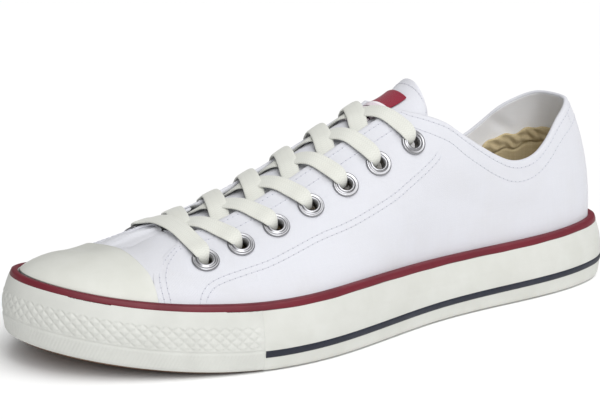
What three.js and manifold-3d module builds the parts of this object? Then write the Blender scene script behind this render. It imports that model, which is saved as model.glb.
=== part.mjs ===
// Low canvas sneaker, left shoe, standing empty on its sole.
// Millimetres. +X heel to toe, +Y to the outer side, +Z up.
import * as THREE from "three";
import { mergeVertices } from "three/addons/utils/BufferGeometryUtils.js";
import Module from "manifold-3d";

const wasm = await Module();
wasm.setup();

// Main sizes
const LENGTH = 298;
const BALL_WIDTH = 106.5;
const HEIGHT = 100;
const TOE_SPRING = 12;
const ROLL_START = 0.7;
const HEEL_LIFT = 1.5;
const HEEL_START = 0.06;
const GAP = 0.3;

// Sole
const OUTSOLE_INSET = 3.5;
const OUTSOLE_TOP = 4.2;
const OUTSOLE_RIM = 2.5;
const MIDDLE_BAND = 11;
const LUG_HEIGHT = 1.7;
const LUG_PITCH = 13;
const LUG_WIDTH = 8;
const FOXING_FOOT = 0.5;
const FLOOR_TOP = 11;
const WALL_INSET = 6.5;
const RIM_INSET = 4.1;
const STRIPE_HEIGHT = 2.5;
const STRIPE_THICK = 0.8;
const SIDE_STRIPE_HEIGHT = 2.1;
const SIDE_STRIPE_SHARE = 0.28;
const SIDE_STRIPE_THICK = 0.6;
const BUMPER_END = 0.73 * LENGTH;
const BUMPER_THICK = 1.3;
const BUMPER_DIP = 0.3;
const FACE_SHARES = [0.42, 0.52, 0.62, 0.71];
const INSOLE_INSET = 9.8;
const INSOLE_THICK = 3.6;

// Upper
const UPPER_INSET = 7.6;
const RIM_DROP = 1.5;
const WALL = 1.6;
const QUARTER_STEP = 0.7;
const TOE_CENTRE = 0.832 * LENGTH;
const HEEL_CENTRE = 0.141 * LENGTH;
const CENTRE_SOFT = 0.087 * LENGTH;
const THROAT_TOP = 0.416 * LENGTH;
const CLOSE_STATION = 0.8255 * LENGTH;
const QUARTER_FRONT = 0.8456 * LENGTH;
const QUARTER_REACH = 5;
const QUARTER_SEARCH = 0.085 * LENGTH;
const SIDE_ROUND = 2;
const SECTION_ROWS = 12;
const STATION_TRIES = 12;
const CAP_THICK = 1.4;
const CAP_FOOT = 0.845 * LENGTH;
const CAP_BOW = 2.4;
const CAP_HALF = 0.3 * BALL_WIDTH;
const CAP_STEPS = 16;
const STAY_WIDTH = 14;
const STAY_THICK = 0.8;
const SKIN_GAP = 0.45;
const SKIN_STATIONS = 40;
const STAY_TOP = 0.81 * HEIGHT;
const STAY_DEEP = 0.1 * LENGTH;

// Tongue, label, eyelets and lace
const TONGUE_TOP = 0.3624 * LENGTH;
const TONGUE_FOOT = 0.787 * LENGTH;
const TONGUE_THICK = 2.2;
const TONGUE_LIFT = 5.5;
const TONGUE_LIFT_START = 0.4128 * LENGTH;
const TONGUE_DROP = 1.3;
const LABEL_FROM = 0.3826 * LENGTH;
const LABEL_LONG = 25;
const LABEL_WIDE = 18;
const LABEL_THICK = 0.7;
const LABEL_CLEAR = 0.65;
const EYELET_FLANGE = 5.4;
const EYELET_HOLE = 2.7;
const EYELET_TALL = 1.3;
const EYELET_PROBE = 0.01;
const EYELET_SIDES = 18;
const DRILL_LONG = 9;
const DRILL_SIDES = 14;
const LACE_WIDE = 8;
const LACE_THICK = 1.3;
const LACE_CLEAR = 1.1;
const LACE_RISE = 1.15;
const LACE_DIVE = 2.1;
const LACE_BACK = 6.4;
const LACE_EDGE = 9;
const LACE_REACH = 0.5;

// Sole outline, heel to toe on the outer side, then back on the inner side
// columns: share of LENGTH, share of BALL_WIDTH
const OUTLINE = [
  [-0.004, 0.0],
  [0.006, 0.2],
  [0.06, 0.3],
  [0.16, 0.355],
  [0.28, 0.35],
  [0.4, 0.365],
  [0.52, 0.45],
  [0.64, 0.52],
  [0.76, 0.475],
  [0.87, 0.35],
  [0.955, 0.19],
  [1.0, 0.01],
  [1.004, -0.18],
  [0.965, -0.355],
  [0.88, -0.475],
  [0.78, -0.52],
  [0.68, -0.5],
  [0.57, -0.415],
  [0.45, -0.33],
  [0.33, -0.3],
  [0.2, -0.325],
  [0.085, -0.32],
  [0.006, -0.205],
];

// Top line of the sole wall
// columns: share of LENGTH, share of HEIGHT
const RIM = [
  [0, 0.301],
  [0.15, 0.282],
  [0.35, 0.273],
  [0.55, 0.28],
  [0.75, 0.279],
  [0.9, 0.325],
  [1, 0.398],
];

// Upper sections
// columns: share of LENGTH, ridge height (share of HEIGHT), ridge y (share of BALL_WIDTH), top roundness
const SECTIONS = [
  [0, 1, 0.0094, 1.8],
  [0.12, 1.02, 0.0094, 1.9],
  [0.22, 1.04, 0.0047, 2.6],
  [0.34, 0.995, -0.0038, 3.4],
  [0.42, 0.938, -0.0094, 2.9],
  [0.48, 0.865, -0.0131, 1.95],
  [0.54, 0.78, -0.0169, 1.4],
  [0.6, 0.688, -0.0207, 1.2],
  [0.66, 0.606, -0.0244, 1.1],
  [0.72, 0.542, -0.0282, 1.1],
  [0.78, 0.484, -0.0338, 1.25],
  [0.85, 0.422, -0.0432, 1.7],
  [1, 0.396, -0.0563, 1.8],
];

// Collar line, heel to throat
// columns: share of LENGTH, share of HEIGHT
const COLLAR = [
  [0.0537, 0.86],
  [0.0738, 0.853],
  [0.1007, 0.815],
  [0.1275, 0.77],
  [0.1544, 0.705],
  [0.1812, 0.653],
  [0.2081, 0.63],
  [0.2349, 0.634],
  [0.2651, 0.67],
  [0.2953, 0.722],
  [0.3255, 0.78],
  [0.3523, 0.838],
  [0.3758, 0.866],
  [0.4161, 0.9],
];

// Half of the throat opening
// columns: share of LENGTH, half gap as a share of BALL_WIDTH
const THROAT = [
  [0.3356, 0.1221],
  [0.4161, 0.1221],
  [0.5369, 0.1221],
  [0.6544, 0.1183],
  [0.735, 0.1146],
  [0.757, 0.107],
  [0.7705, 0.0798],
  [0.7805, 0],
];

// Front edge of the quarters
// columns: distance from the ridge line as a share of BALL_WIDTH, share of LENGTH
const QUARTER_EDGE = [
  [0, 0.7795],
  [0.1127, 0.78],
  [0.1369, 0.784],
  [0.1563, 0.7985],
  [0.1784, 0.8122],
  [0.2066, 0.8265],
  [0.2347, 0.835],
  [0.2723, 0.8403],
  [0.3192, 0.8425],
  [0.5634, 0.843],
];

// Tongue
// columns: share of LENGTH, share of the way to the outer side, share of the way to the inner side
const TONGUE = [
  [0.3624, 0.477, 0.63],
  [0.3691, 0.6, 0.76],
  [0.3826, 0.68, 0.84],
  [0.4094, 0.69, 0.87],
  [0.5034, 0.585, 0.8],
  [0.6376, 0.436, 0.543],
  [0.7215, 0.381, 0.413],
  [0.787, 0.341, 0.34],
];

// Eyelet rows, toe to ankle
// columns: share of LENGTH, share of the way to the outer side, share of the way to the inner side
const EYELETS = [
  [0.7685, 0.6422, 0.6482],
  [0.7128, 0.5887, 0.6438],
  [0.655, 0.5654, 0.6731],
  [0.5977, 0.5775, 0.7359],
  [0.5383, 0.6179, 0.8201],
  [0.4805, 0.675, 0.9041],
  [0.4181, 0.7417, 0.9716],
];

function clamp(v, lo, hi) {
  return Math.min(hi, Math.max(lo, v));
}

// Smooth row read from a table, column c against column 0
function row(table, c, x) {
  const n = table.length;
  const v = clamp(x, table[0][0], table[n - 1][0]);
  let i = 0;
  while (i < n - 2 && v > table[i + 1][0]) i += 1;
  const slope = (k) => (table[k + 1][c] - table[k][c]) / (table[k + 1][0] - table[k][0]);
  const step = (k) => table[k + 1][0] - table[k][0];
  const tangent = (k) => {
    if (k === 0) return slope(0);
    if (k === n - 1) return slope(n - 2);
    return (slope(k - 1) * step(k) + slope(k) * step(k - 1)) / (step(k - 1) + step(k));
  };
  const h = step(i);
  const f = (v - table[i][0]) / h;
  const a = (2 * f - 3) * f * f + 1;
  const b = ((f - 2) * f + 1) * f;
  const d = (f - 1) * f * f;
  return a * table[i][c] + b * h * tangent(i) + (1 - a) * table[i + 1][c] + d * h * tangent(i + 1);
}

// Closed smooth curve through the outline table
function blend(points, u) {
  const n = points.length;
  const w = (((u % 1) + 1) % 1) * n;
  const i = Math.floor(w);
  const f = w - i;
  const g = 1 - f;
  const k = [
    (g * g * g) / 6,
    (3 * f * f * f - 6 * f * f + 4) / 6,
    (-3 * f * f * f + 3 * f * f + 3 * f + 1) / 6,
    (f * f * f) / 6,
  ];
  const t = [(-g * g) / 2, (3 * f * f - 4 * f) / 2, (-3 * f * f + 2 * f + 1) / 2, (f * f) / 2];
  const out = [0, 0, 0, 0];
  for (let j = 0; j < 4; j += 1) {
    const p = points[(i + j - 1 + n) % n];
    out[0] += k[j] * p[0];
    out[1] += k[j] * p[1];
    out[2] += t[j] * p[0];
    out[3] += t[j] * p[1];
  }
  return out;
}

const span = { x0: 1e9, x1: -1e9, y0: 1e9, y1: -1e9 };
for (let i = 0; i < 2000; i += 1) {
  const p = blend(OUTLINE, i / 2000);
  span.x0 = Math.min(span.x0, p[0]);
  span.x1 = Math.max(span.x1, p[0]);
  span.y0 = Math.min(span.y0, p[1]);
  span.y1 = Math.max(span.y1, p[1]);
}
const CONTROL = OUTLINE.map((p) => [
  ((p[0] - span.x0) / (span.x1 - span.x0)) * LENGTH,
  (p[1] / (span.y1 - span.y0)) * BALL_WIDTH,
]);

// Place on the outline where it turns back, near u0
function turn(u0) {
  let lo = u0 - 0.05;
  let hi = u0 + 0.05;
  const rising = blend(CONTROL, lo)[2] > 0;
  for (let i = 0; i < 50; i += 1) {
    const mid = (lo + hi) / 2;
    if (blend(CONTROL, mid)[2] > 0 === rising) lo = mid;
    else hi = mid;
  }
  return (lo + hi) / 2;
}
const U_HEEL = turn(0);
const U_TOE = turn(11.6 / 23);
const X_HEEL = blend(CONTROL, U_HEEL)[0];
const X_TOE = blend(CONTROL, U_TOE)[0];

// Outline place of a station x on one side (1 outer, -1 inner)
function place(side, x) {
  let lo = side > 0 ? U_HEEL : 1 + U_HEEL;
  let hi = U_TOE;
  for (let i = 0; i < 44; i += 1) {
    const mid = (lo + hi) / 2;
    if (blend(CONTROL, mid)[0] < x) lo = mid;
    else hi = mid;
  }
  return (lo + hi) / 2;
}

// Plan point of a station, moved inwards
function edge(col, inset) {
  const p = blend(CONTROL, col.u);
  const len = Math.hypot(p[2], p[3]);
  return [p[0] + (p[3] / len) * inset, p[1] - (p[2] / len) * inset];
}

function floorZ(x) {
  const s = x / LENGTH;
  const toe = clamp((s - ROLL_START) / (1 - ROLL_START), 0, 1);
  const heel = clamp((HEEL_START - s) / HEEL_START, 0, 1);
  return TOE_SPRING * toe * toe + HEEL_LIFT * heel * heel;
}

function rimZ(x) {
  return HEIGHT * row(RIM, 1, x / LENGTH);
}

function ridgeZ(x) {
  return HEIGHT * row(SECTIONS, 1, x / LENGTH);
}

function topRound(x) {
  return row(SECTIONS, 3, x / LENGTH);
}

function collarZ(x) {
  return HEIGHT * row(COLLAR, 1, x / LENGTH);
}

function throatGap(x) {
  return BALL_WIDTH * row(THROAT, 1, x / LENGTH);
}

// Front edge of the quarters at a distance from the ridge line
function quarterX(distance) {
  return LENGTH * row(QUARTER_EDGE, 1, distance / BALL_WIDTH);
}

// Station on the centre line that a side station leans to
function spineX(x) {
  const toe = 0.5 * (x + TOE_CENTRE - Math.hypot(x - TOE_CENTRE, CENTRE_SOFT));
  return 0.5 * (toe + HEEL_CENTRE + Math.hypot(toe - HEEL_CENTRE, CENTRE_SOFT));
}

function ridgeY(x) {
  return BALL_WIDTH * row(SECTIONS, 2, x / LENGTH);
}

function column(side, x) {
  return { side, x, u: place(side, x), cx: spineX(x) };
}

// Outer face of the upper: station, section angle from the rim up, thickness added outwards
function upperPoint(col, angle, extra) {
  const b = edge(col, UPPER_INSET - extra);
  const z0 = rimZ(b[0]) - RIM_DROP;
  const z1 = ridgeZ(col.cx) + extra;
  const yc = ridgeY(col.cx);
  if (angle >= Math.PI / 2) return [col.cx, yc, z1];
  const r = clamp(Math.cos(angle), 0, 1) ** (2 / SIDE_ROUND);
  const k = clamp(Math.sin(angle), 0, 1) ** (2 / topRound(col.cx));
  return [col.cx + (b[0] - col.cx) * r, yc + (b[1] - yc) * r, z0 + (z1 - z0) * k];
}

// The same face at a plan x, a share of the way from the ridge line to the side
function sidePoint(x, side, share, extra) {
  let xs = x;
  let point = [0, 0, 0];
  for (let i = 0; i < STATION_TRIES; i += 1) {
    const col = column(side, xs);
    point = upperPoint(col, Math.acos(share ** (SIDE_ROUND / 2)), extra);
    xs += x - point[0];
  }
  return point;
}

// Height of the same face over a plan point
function surfaceZ(x, y, extra) {
  let xs = x;
  let z = 0;
  for (let i = 0; i < STATION_TRIES; i += 1) {
    const yc = ridgeY(spineX(xs));
    const col = column(y >= yc ? 1 : -1, xs);
    const b = edge(col, UPPER_INSET - extra);
    const share = clamp((y - yc) / (b[1] - yc), 0, 1);
    const point = upperPoint(col, Math.acos(share ** (SIDE_ROUND / 2)), extra);
    z = point[2];
    xs += x - point[0];
  }
  return z;
}

// Closed mesh from columns of points; skip(i, k) leaves a strip out
function weave(columns, closedRing, closedProfile, skip = () => false) {
  const pos = [];
  const index = [];
  const m = columns[0].length;
  for (const c of columns) for (const p of c) pos.push(...p);
  const rings = closedRing ? columns.length : columns.length - 1;
  const strips = closedProfile ? m : m - 1;
  for (let i = 0; i < rings; i += 1) {
    const j = (i + 1) % columns.length;
    for (let k = 0; k < strips; k += 1) {
      if (skip(i, k)) continue;
      const l = (k + 1) % m;
      index.push(i * m + k, j * m + k, j * m + l, i * m + k, j * m + l, i * m + l);
    }
  }
  if (!closedRing) {
    const last = (columns.length - 1) * m;
    const faces = THREE.ShapeUtils.triangulateShape(flat(columns[0]), []);
    const ends = THREE.ShapeUtils.triangulateShape(flat(columns[columns.length - 1]), []);
    for (const f of faces) index.push(f[0], f[1], f[2]);
    for (const f of ends) index.push(last + f[2], last + f[1], last + f[0]);
  }
  const g = new THREE.BufferGeometry();
  g.setAttribute("position", new THREE.Float32BufferAttribute(pos, 3));
  g.setIndex(index);
  return outwards(tidy(g));
}

// End profile laid flat for its cap, in its own plane
function flat(points) {
  const a = new THREE.Vector3(...points[0]);
  const normal = new THREE.Vector3();
  for (let i = 0; i < points.length; i += 1) {
    const p = new THREE.Vector3(...points[i]).sub(a);
    const q = new THREE.Vector3(...points[(i + 1) % points.length]).sub(a);
    normal.add(p.cross(q));
  }
  normal.normalize();
  const ux = new THREE.Vector3(...points[1]).sub(a).normalize();
  const uy = normal.clone().cross(ux);
  return points.map((p) => {
    const v = new THREE.Vector3(...p).sub(a);
    return new THREE.Vector2(v.dot(ux), v.dot(uy));
  });
}

function tidy(g) {
  g.deleteAttribute("normal");
  g.deleteAttribute("uv");
  const merged = mergeVertices(g, 1e-3);
  const idx = merged.index.array;
  const keep = [];
  for (let i = 0; i < idx.length; i += 3) {
    if (idx[i] !== idx[i + 1] && idx[i + 1] !== idx[i + 2] && idx[i] !== idx[i + 2]) {
      keep.push(idx[i], idx[i + 1], idx[i + 2]);
    }
  }
  merged.setIndex(keep);
  return merged;
}

function volume(g) {
  const p = g.attributes.position;
  const idx = g.index.array;
  const a = new THREE.Vector3();
  const b = new THREE.Vector3();
  const c = new THREE.Vector3();
  let v = 0;
  for (let i = 0; i < idx.length; i += 3) {
    a.fromBufferAttribute(p, idx[i]);
    b.fromBufferAttribute(p, idx[i + 1]);
    c.fromBufferAttribute(p, idx[i + 2]);
    v += a.dot(b.cross(c)) / 6;
  }
  return v;
}

function outwards(g) {
  if (volume(g) < 0) {
    const idx = g.index.array;
    for (let i = 0; i < idx.length; i += 3) {
      const t = idx[i + 1];
      idx[i + 1] = idx[i + 2];
      idx[i + 2] = t;
    }
  }
  return g;
}

function toSolid(g) {
  const verts = new Float32Array(g.attributes.position.array);
  const tris = new Uint32Array(g.index.array);
  return new wasm.Manifold(new wasm.Mesh({ numProp: 3, vertProperties: verts, triVerts: tris }));
}

function fromSolid(solid) {
  const mesh = solid.getMesh();
  const g = new THREE.BufferGeometry();
  g.setAttribute("position", new THREE.Float32BufferAttribute(mesh.vertProperties, 3));
  g.setIndex([...mesh.triVerts]);
  return tidy(g);
}

// Stations from heel to toe, close together at the ends, with given ones added
function stations(count, added = []) {
  const list = [];
  for (let i = 1; i < count; i += 1) {
    list.push(blend(CONTROL, U_HEEL + ((U_TOE - U_HEEL) * i) / count)[0]);
  }
  const kept = list.filter((x) => added.every((a) => Math.abs(a - x) > 1.6));
  return [...kept, ...added].sort((a, b) => a - b);
}

// Ring of columns: heel, outer side to the toe, back along the inner side
function ring(list) {
  const heel = { side: 1, x: X_HEEL, u: U_HEEL, cx: spineX(X_HEEL) };
  const toe = { side: 1, x: X_TOE, u: U_TOE, cx: spineX(X_TOE) };
  const back = [...list].reverse();
  return [heel, ...list.map((x) => column(1, x)), toe, ...back.map((x) => column(-1, x))];
}

function strip(list) {
  const back = [...list].reverse();
  const toe = { side: 1, x: X_TOE, u: U_TOE, cx: spineX(X_TOE) };
  return [...list.map((x) => column(1, x)), toe, ...back.map((x) => column(-1, x))];
}

function heelStrip(list) {
  const heel = { side: 1, x: X_HEEL, u: U_HEEL, cx: spineX(X_HEEL) };
  const down = [...list].reverse();
  return [...down.map((x) => column(-1, x)), heel, ...list.map((x) => column(1, x))];
}

function at(col, inset, z) {
  const p = edge(col, inset);
  return [p[0], p[1], z(p[0])];
}

function spine(col, z) {
  return [col.cx, ridgeY(col.cx), z(col.cx)];
}

// Sole wall face: inset at a share of the wall height
function faceInset(share) {
  return share < 0.45 ? 1.2 * (1 - share / 0.45) ** 2 : (RIM_INSET * (share - 0.45) ** 1.6) / 0.55 ** 1.6;
}

function wallZ(x, share) {
  return floorZ(x) + share * (rimZ(x) - floorZ(x));
}

const parts = new THREE.Group();

function add(name, geometry, color, roughness = 0.8, metalness = 0) {
  const mesh = new THREE.Mesh(geometry, new THREE.MeshStandardMaterial({ color, roughness, metalness }));
  mesh.name = name;
  parts.add(mesh);
}

// Outsole: slab with lugs
{
  const columns = ring(stations(34)).map((c) => [
    spine(c, (x) => floorZ(x) + LUG_HEIGHT),
    at(c, OUTSOLE_INSET + MIDDLE_BAND, (x) => floorZ(x) + LUG_HEIGHT),
    at(c, OUTSOLE_INSET + OUTSOLE_RIM, (x) => floorZ(x) + LUG_HEIGHT),
    at(c, OUTSOLE_INSET + OUTSOLE_RIM, floorZ),
    at(c, OUTSOLE_INSET, floorZ),
    at(c, OUTSOLE_INSET, (x) => floorZ(x) + OUTSOLE_TOP),
    at(c, OUTSOLE_INSET + MIDDLE_BAND, (x) => floorZ(x) + OUTSOLE_TOP),
    spine(c, (x) => floorZ(x) + OUTSOLE_TOP),
  ]);
  let solid = toSolid(weave(columns, true, false));
  const lugs = [];
  for (let x = LUG_PITCH; x < LENGTH - LUG_PITCH; x += LUG_PITCH) {
    const out = edge(column(1, x), OUTSOLE_INSET + 8)[1];
    const inn = edge(column(-1, x), OUTSOLE_INSET + 8)[1];
    const count = Math.max(1, Math.round((out - inn) / LUG_PITCH));
    for (let i = 0; i < count; i += 1) {
      const y = inn + ((out - inn) * (i + 0.5)) / count;
      const shift = i % 2 ? 2 : -2;
      lugs.push(lug(x + shift, y, LUG_WIDTH, Math.min(LUG_WIDTH + 2, (out - inn) / count - 2)));
    }
  }
  for (const l of lugs) solid = solid.add(toSolid(l));
  add("outsole", fromSolid(solid), 0x6b4a33, 0.85);
}

function lug(x, y, long, wide) {
  const g = new THREE.BoxGeometry(long, wide, LUG_HEIGHT + 0.6, 2, 1, 1);
  g.translate(x, y, (LUG_HEIGHT + 0.6) / 2);
  const p = g.attributes.position;
  for (let i = 0; i < p.count; i += 1) p.setZ(i, p.getZ(i) + floorZ(p.getX(i)));
  return tidy(g);
}

// Sole wall and midsole, one cup
{
  const near = BUMPER_END - 1;
  const list = stations(46, [near, BUMPER_END]);
  const columns = ring(list).map((c) => {
    const back = c.x > BUMPER_END - 0.5 ? BUMPER_THICK + GAP : 0;
    const groove = SIDE_STRIPE_THICK + GAP;
    const topShare = (x) => (rimZ(x) - STRIPE_HEIGHT - GAP - floorZ(x)) / (rimZ(x) - floorZ(x));
    const half = (x) => (SIDE_STRIPE_HEIGHT / 2 + 0.3) / (rimZ(x) - floorZ(x));
    const lo = (x) => SIDE_STRIPE_SHARE - half(x);
    const hi = (x) => SIDE_STRIPE_SHARE + half(x);
    const wall = (share, more) => {
      const s = share(c.x);
      return at(c, faceInset(s) + more + back, (x) => wallZ(x, s));
    };
    const sunk = back > 0 ? 0 : groove;
    return [
      spine(c, (x) => floorZ(x) + OUTSOLE_TOP + GAP),
      at(c, OUTSOLE_INSET - GAP + MIDDLE_BAND, (x) => floorZ(x) + OUTSOLE_TOP + GAP),
      at(c, OUTSOLE_INSET - GAP, (x) => floorZ(x) + OUTSOLE_TOP + GAP),
      at(c, OUTSOLE_INSET - GAP, (x) => floorZ(x) + FOXING_FOOT),
      at(c, back > 0 ? 2.6 : 1.3, (x) => floorZ(x) + FOXING_FOOT),
      wall(() => 0.1, 0),
      wall(lo, 0),
      wall(lo, sunk),
      wall(hi, sunk),
      wall(hi, 0),
      ...FACE_SHARES.map((share) => wall(() => share, 0)),
      wall(topShare, 0),
      wall(topShare, back > 0 ? 0.05 : STRIPE_THICK + GAP),
      at(c, RIM_INSET + STRIPE_THICK + GAP, rimZ),
      at(c, WALL_INSET, rimZ),
      at(c, WALL_INSET, (x) => floorZ(x) + FLOOR_TOP),
      at(c, WALL_INSET + MIDDLE_BAND, (x) => floorZ(x) + FLOOR_TOP),
      spine(c, (x) => floorZ(x) + FLOOR_TOP),
    ];
  });
  add("foxing", weave(columns, true, false), 0xe2e1da, 0.6);
}

// Toe bumper strip
{
  const list = stations(46, [BUMPER_END + GAP]).filter((x) => x > BUMPER_END);
  const columns = strip(list).map((c) => {
    const top = (x) => (rimZ(x) - STRIPE_HEIGHT - 2 * GAP - floorZ(x)) / (rimZ(x) - floorZ(x));
    const bottom = (x) => (FOXING_FOOT + 1.4) / (rimZ(x) - floorZ(x));
    const face = (share, more) => at(c, faceInset(share) + more, (x) => wallZ(x, share));
    const t = top(c.x);
    const b = bottom(c.x);
    return [
      face(b, 0.2),
      face(0.3, 0),
      face(0.32, BUMPER_DIP),
      ...FACE_SHARES.map((share) => face(share, BUMPER_DIP)),
      face(0.73, 0),
      face(t, 0),
      face(t, BUMPER_THICK),
      ...[...FACE_SHARES].reverse().map((share) => face(share, BUMPER_THICK)),
      face(0.3, BUMPER_THICK - 0.1),
      face(b, BUMPER_THICK - 0.1),
    ];
  });
  add("toe_bumper", weave(columns, false, true), 0xdcdcd6, 0.6);
}

// Upper stripe round the whole wall
{
  const columns = ring(stations(46)).map((c) => {
    const low = (rimZ(c.x) - STRIPE_HEIGHT - floorZ(c.x)) / (rimZ(c.x) - floorZ(c.x));
    return [
      at(c, faceInset(low), (x) => wallZ(x, low)),
      at(c, RIM_INSET, (x) => rimZ(x) - 0.1),
      at(c, RIM_INSET + STRIPE_THICK, (x) => rimZ(x) - 0.1),
      at(c, faceInset(low) + STRIPE_THICK, (x) => wallZ(x, low)),
    ];
  });
  add("stripe_top", weave(columns, true, true), 0x7c2233, 0.6);
}

// Side stripe from bumper end to bumper end round the heel
{
  const list = stations(46, [BUMPER_END - 1.4]).filter((x) => x < BUMPER_END - 1);
  const columns = heelStrip(list).map((c) => {
    const half = SIDE_STRIPE_HEIGHT / 2 / (rimZ(c.x) - floorZ(c.x));
    const lo = SIDE_STRIPE_SHARE - half;
    const hi = SIDE_STRIPE_SHARE + half;
    return [
      at(c, faceInset(lo) - 0.05, (x) => wallZ(x, lo)),
      at(c, faceInset(hi) - 0.05, (x) => wallZ(x, hi)),
      at(c, faceInset(hi) + SIDE_STRIPE_THICK, (x) => wallZ(x, hi)),
      at(c, faceInset(lo) + SIDE_STRIPE_THICK, (x) => wallZ(x, lo)),
    ];
  });
  add("stripe_side", weave(columns, false, true), 0x262d40, 0.6);
}

// Insole
{
  const low = (x) => floorZ(x) + FLOOR_TOP + GAP;
  const high = (x) => low(x) + INSOLE_THICK;
  const columns = ring(stations(30)).map((c) => [
    spine(c, low),
    at(c, INSOLE_INSET + MIDDLE_BAND, low),
    at(c, INSOLE_INSET, low),
    at(c, INSOLE_INSET, high),
    at(c, INSOLE_INSET + MIDDLE_BAND, high),
    spine(c, high),
  ]);
  add("insole", weave(columns, true, false), 0xb5a583, 0.9);
}

// Angle at which a section meets the collar or the throat
function topAngle(col, extra) {
  let lo = 0;
  let hi = Math.PI / 2;
  const below = (a) => {
    const p = upperPoint(col, a, extra);
    if (p[0] < THROAT_TOP) return p[2] < collarZ(p[0]);
    return Math.abs(p[1] - ridgeY(p[0])) > throatGap(p[0]);
  };
  if (col.x >= CLOSE_STATION) return hi;
  for (let i = 0; i < 40; i += 1) {
    const mid = (lo + hi) / 2;
    if (below(mid)) lo = mid;
    else hi = mid;
  }
  return hi > Math.PI / 2 - 1e-4 ? Math.PI / 2 : lo;
}

// Station whose section passes the quarter's front edge at this angle
function quarterStation(side, angle, extra) {
  let lo = QUARTER_FRONT - QUARTER_SEARCH;
  let hi = QUARTER_FRONT + QUARTER_SEARCH;
  for (let i = 0; i < 40; i += 1) {
    const mid = (lo + hi) / 2;
    const p = upperPoint(column(side, mid), angle, extra);
    if (p[0] < quarterX(Math.abs(p[1] - ridgeY(p[0])))) lo = mid;
    else hi = mid;
  }
  return (lo + hi) / 2;
}


// Upper: vamp and quarters in one hollow wall, quarters a step thicker
{
  const list = stations(44, [THROAT_TOP, CLOSE_STATION]);
  const base = ring(list);
  const front = quarterColumns(base);
  const columns = front.map((f) => {
    const open = f.top < Math.PI / 2;
    const pts = [];
    const foot = (extra) => at(f.at(0), UPPER_INSET - extra, (x) => floorZ(x) + FLOOR_TOP + GAP + 0.1);
    pts.push(foot(f.extra));
    for (let k = 0; k <= SECTION_ROWS; k += 1) {
      const share = k / SECTION_ROWS;
      pts.push(upperPoint(f.at(share), f.top * share, f.extra));
    }
    for (let k = SECTION_ROWS; k >= 0; k -= 1) {
      const share = k / SECTION_ROWS;
      pts.push(upperPoint(f.at(share), f.topIn * share, -WALL));
    }
    pts.push(foot(-WALL));
    return { pts, open };
  });
  const lip = SECTION_ROWS + 1;
  const g = weave(
    columns.map((c) => c.pts),
    true,
    true,
    (i, k) => k === lip && !columns[i].open && !columns[(i + 1) % columns.length].open,
  );
  let solid = toSolid(g);
  for (const e of eyeletPlaces()) solid = solid.subtract(toSolid(drill(e)));
  add("upper", fromSolid(solid), 0xe9e9ec, 0.95);
}

// Columns of the upper, bent so that one follows the front edge of the quarters;
// that one is there twice, thin and thick
function quarterColumns(base) {
  const out = [];
  const marks = { 1: -1, "-1": -1 };
  const sideOf = (c, i) => (i <= base.length / 2 ? 1 : -1);
  base.forEach((c, i) => {
    const s = sideOf(c, i);
    const d = Math.abs(c.x - QUARTER_FRONT);
    if (marks[s] < 0 || d < Math.abs(base[marks[s]].x - QUARTER_FRONT)) marks[s] = i;
  });
  base.forEach((c, i) => {
    const s = sideOf(c, i);
    const hops = Math.abs(i - marks[s]);
    const weight = Math.max(0, 1 - hops / QUARTER_REACH);
    const top = topAngle(c, 0);
    const topIn = topAngle(c, -WALL);
    const move = (share) => {
      if (weight === 0) return c;
      const x = c.x + weight * (quarterStation(s, share * top, 0) - base[marks[s]].x);
      return column(s, x);
    };
    const behind = c.x < QUARTER_FRONT;
    const thin = { at: move, top, topIn, extra: 0 };
    const thick = { at: move, top, topIn, extra: QUARTER_STEP };
    if (i === marks[s]) out.push(...(s > 0 ? [thick, thin] : [thin, thick]));
    else out.push(behind ? thick : thin);
  });
  return out;
}

// Skin over the upper above the sole wall, between two larger forms of the upper
function skin(under, over) {
  const face = (c, extra) => {
    const b = edge(c, UPPER_INSET - extra);
    const z0 = rimZ(b[0]) - RIM_DROP;
    const share = (RIM_DROP + GAP) / (ridgeZ(c.cx) + extra - z0);
    const low = Math.asin(share ** (topRound(c.cx) / 2));
    const pts = [];
    for (let k = 0; k <= SECTION_ROWS; k += 1) {
      pts.push(upperPoint(c, low + ((Math.PI / 2 - low) * k) / SECTION_ROWS, extra));
    }
    return pts;
  };
  const columns = ring(stations(SKIN_STATIONS)).map((c) => [...face(c, over), ...face(c, under).reverse()]);
  return toSolid(weave(columns, true, true, (i, k) => k === SECTION_ROWS));
}

// Toe cap: skin ahead of its bowed rear edge
{
  const region = new THREE.Shape();
  region.moveTo(LENGTH + CAP_FOOT, -BALL_WIDTH);
  for (let i = -CAP_STEPS; i <= CAP_STEPS; i += 1) {
    const share = i / CAP_STEPS;
    const x = CAP_FOOT + CAP_BOW * (1 - share ** 2);
    if (i === -CAP_STEPS) region.lineTo(x, -BALL_WIDTH);
    region.lineTo(x, CAP_HALF * share + ridgeY(CAP_FOOT));
    if (i === CAP_STEPS) region.lineTo(x, BALL_WIDTH);
  }
  region.lineTo(LENGTH + CAP_FOOT, BALL_WIDTH);
  const block = new THREE.ExtrudeGeometry(region, { depth: HEIGHT, bevelEnabled: false });
  const shell = skin(SKIN_GAP, SKIN_GAP + CAP_THICK);
  add("toe_cap", fromSolid(shell.intersect(toSolid(tidy(block)))), 0xdbdcd6, 0.45);
}

// Heel strip
{
  const under = QUARTER_STEP + SKIN_GAP;
  const block = new THREE.BoxGeometry(2 * STAY_DEEP, STAY_WIDTH, STAY_TOP);
  block.translate(0, ridgeY(0), STAY_TOP / 2);
  const shell = skin(under, under + STAY_THICK);
  add("heel_strip", fromSolid(shell.intersect(toSolid(tidy(block)))), 0xe6e6ea, 0.95);
}

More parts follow.
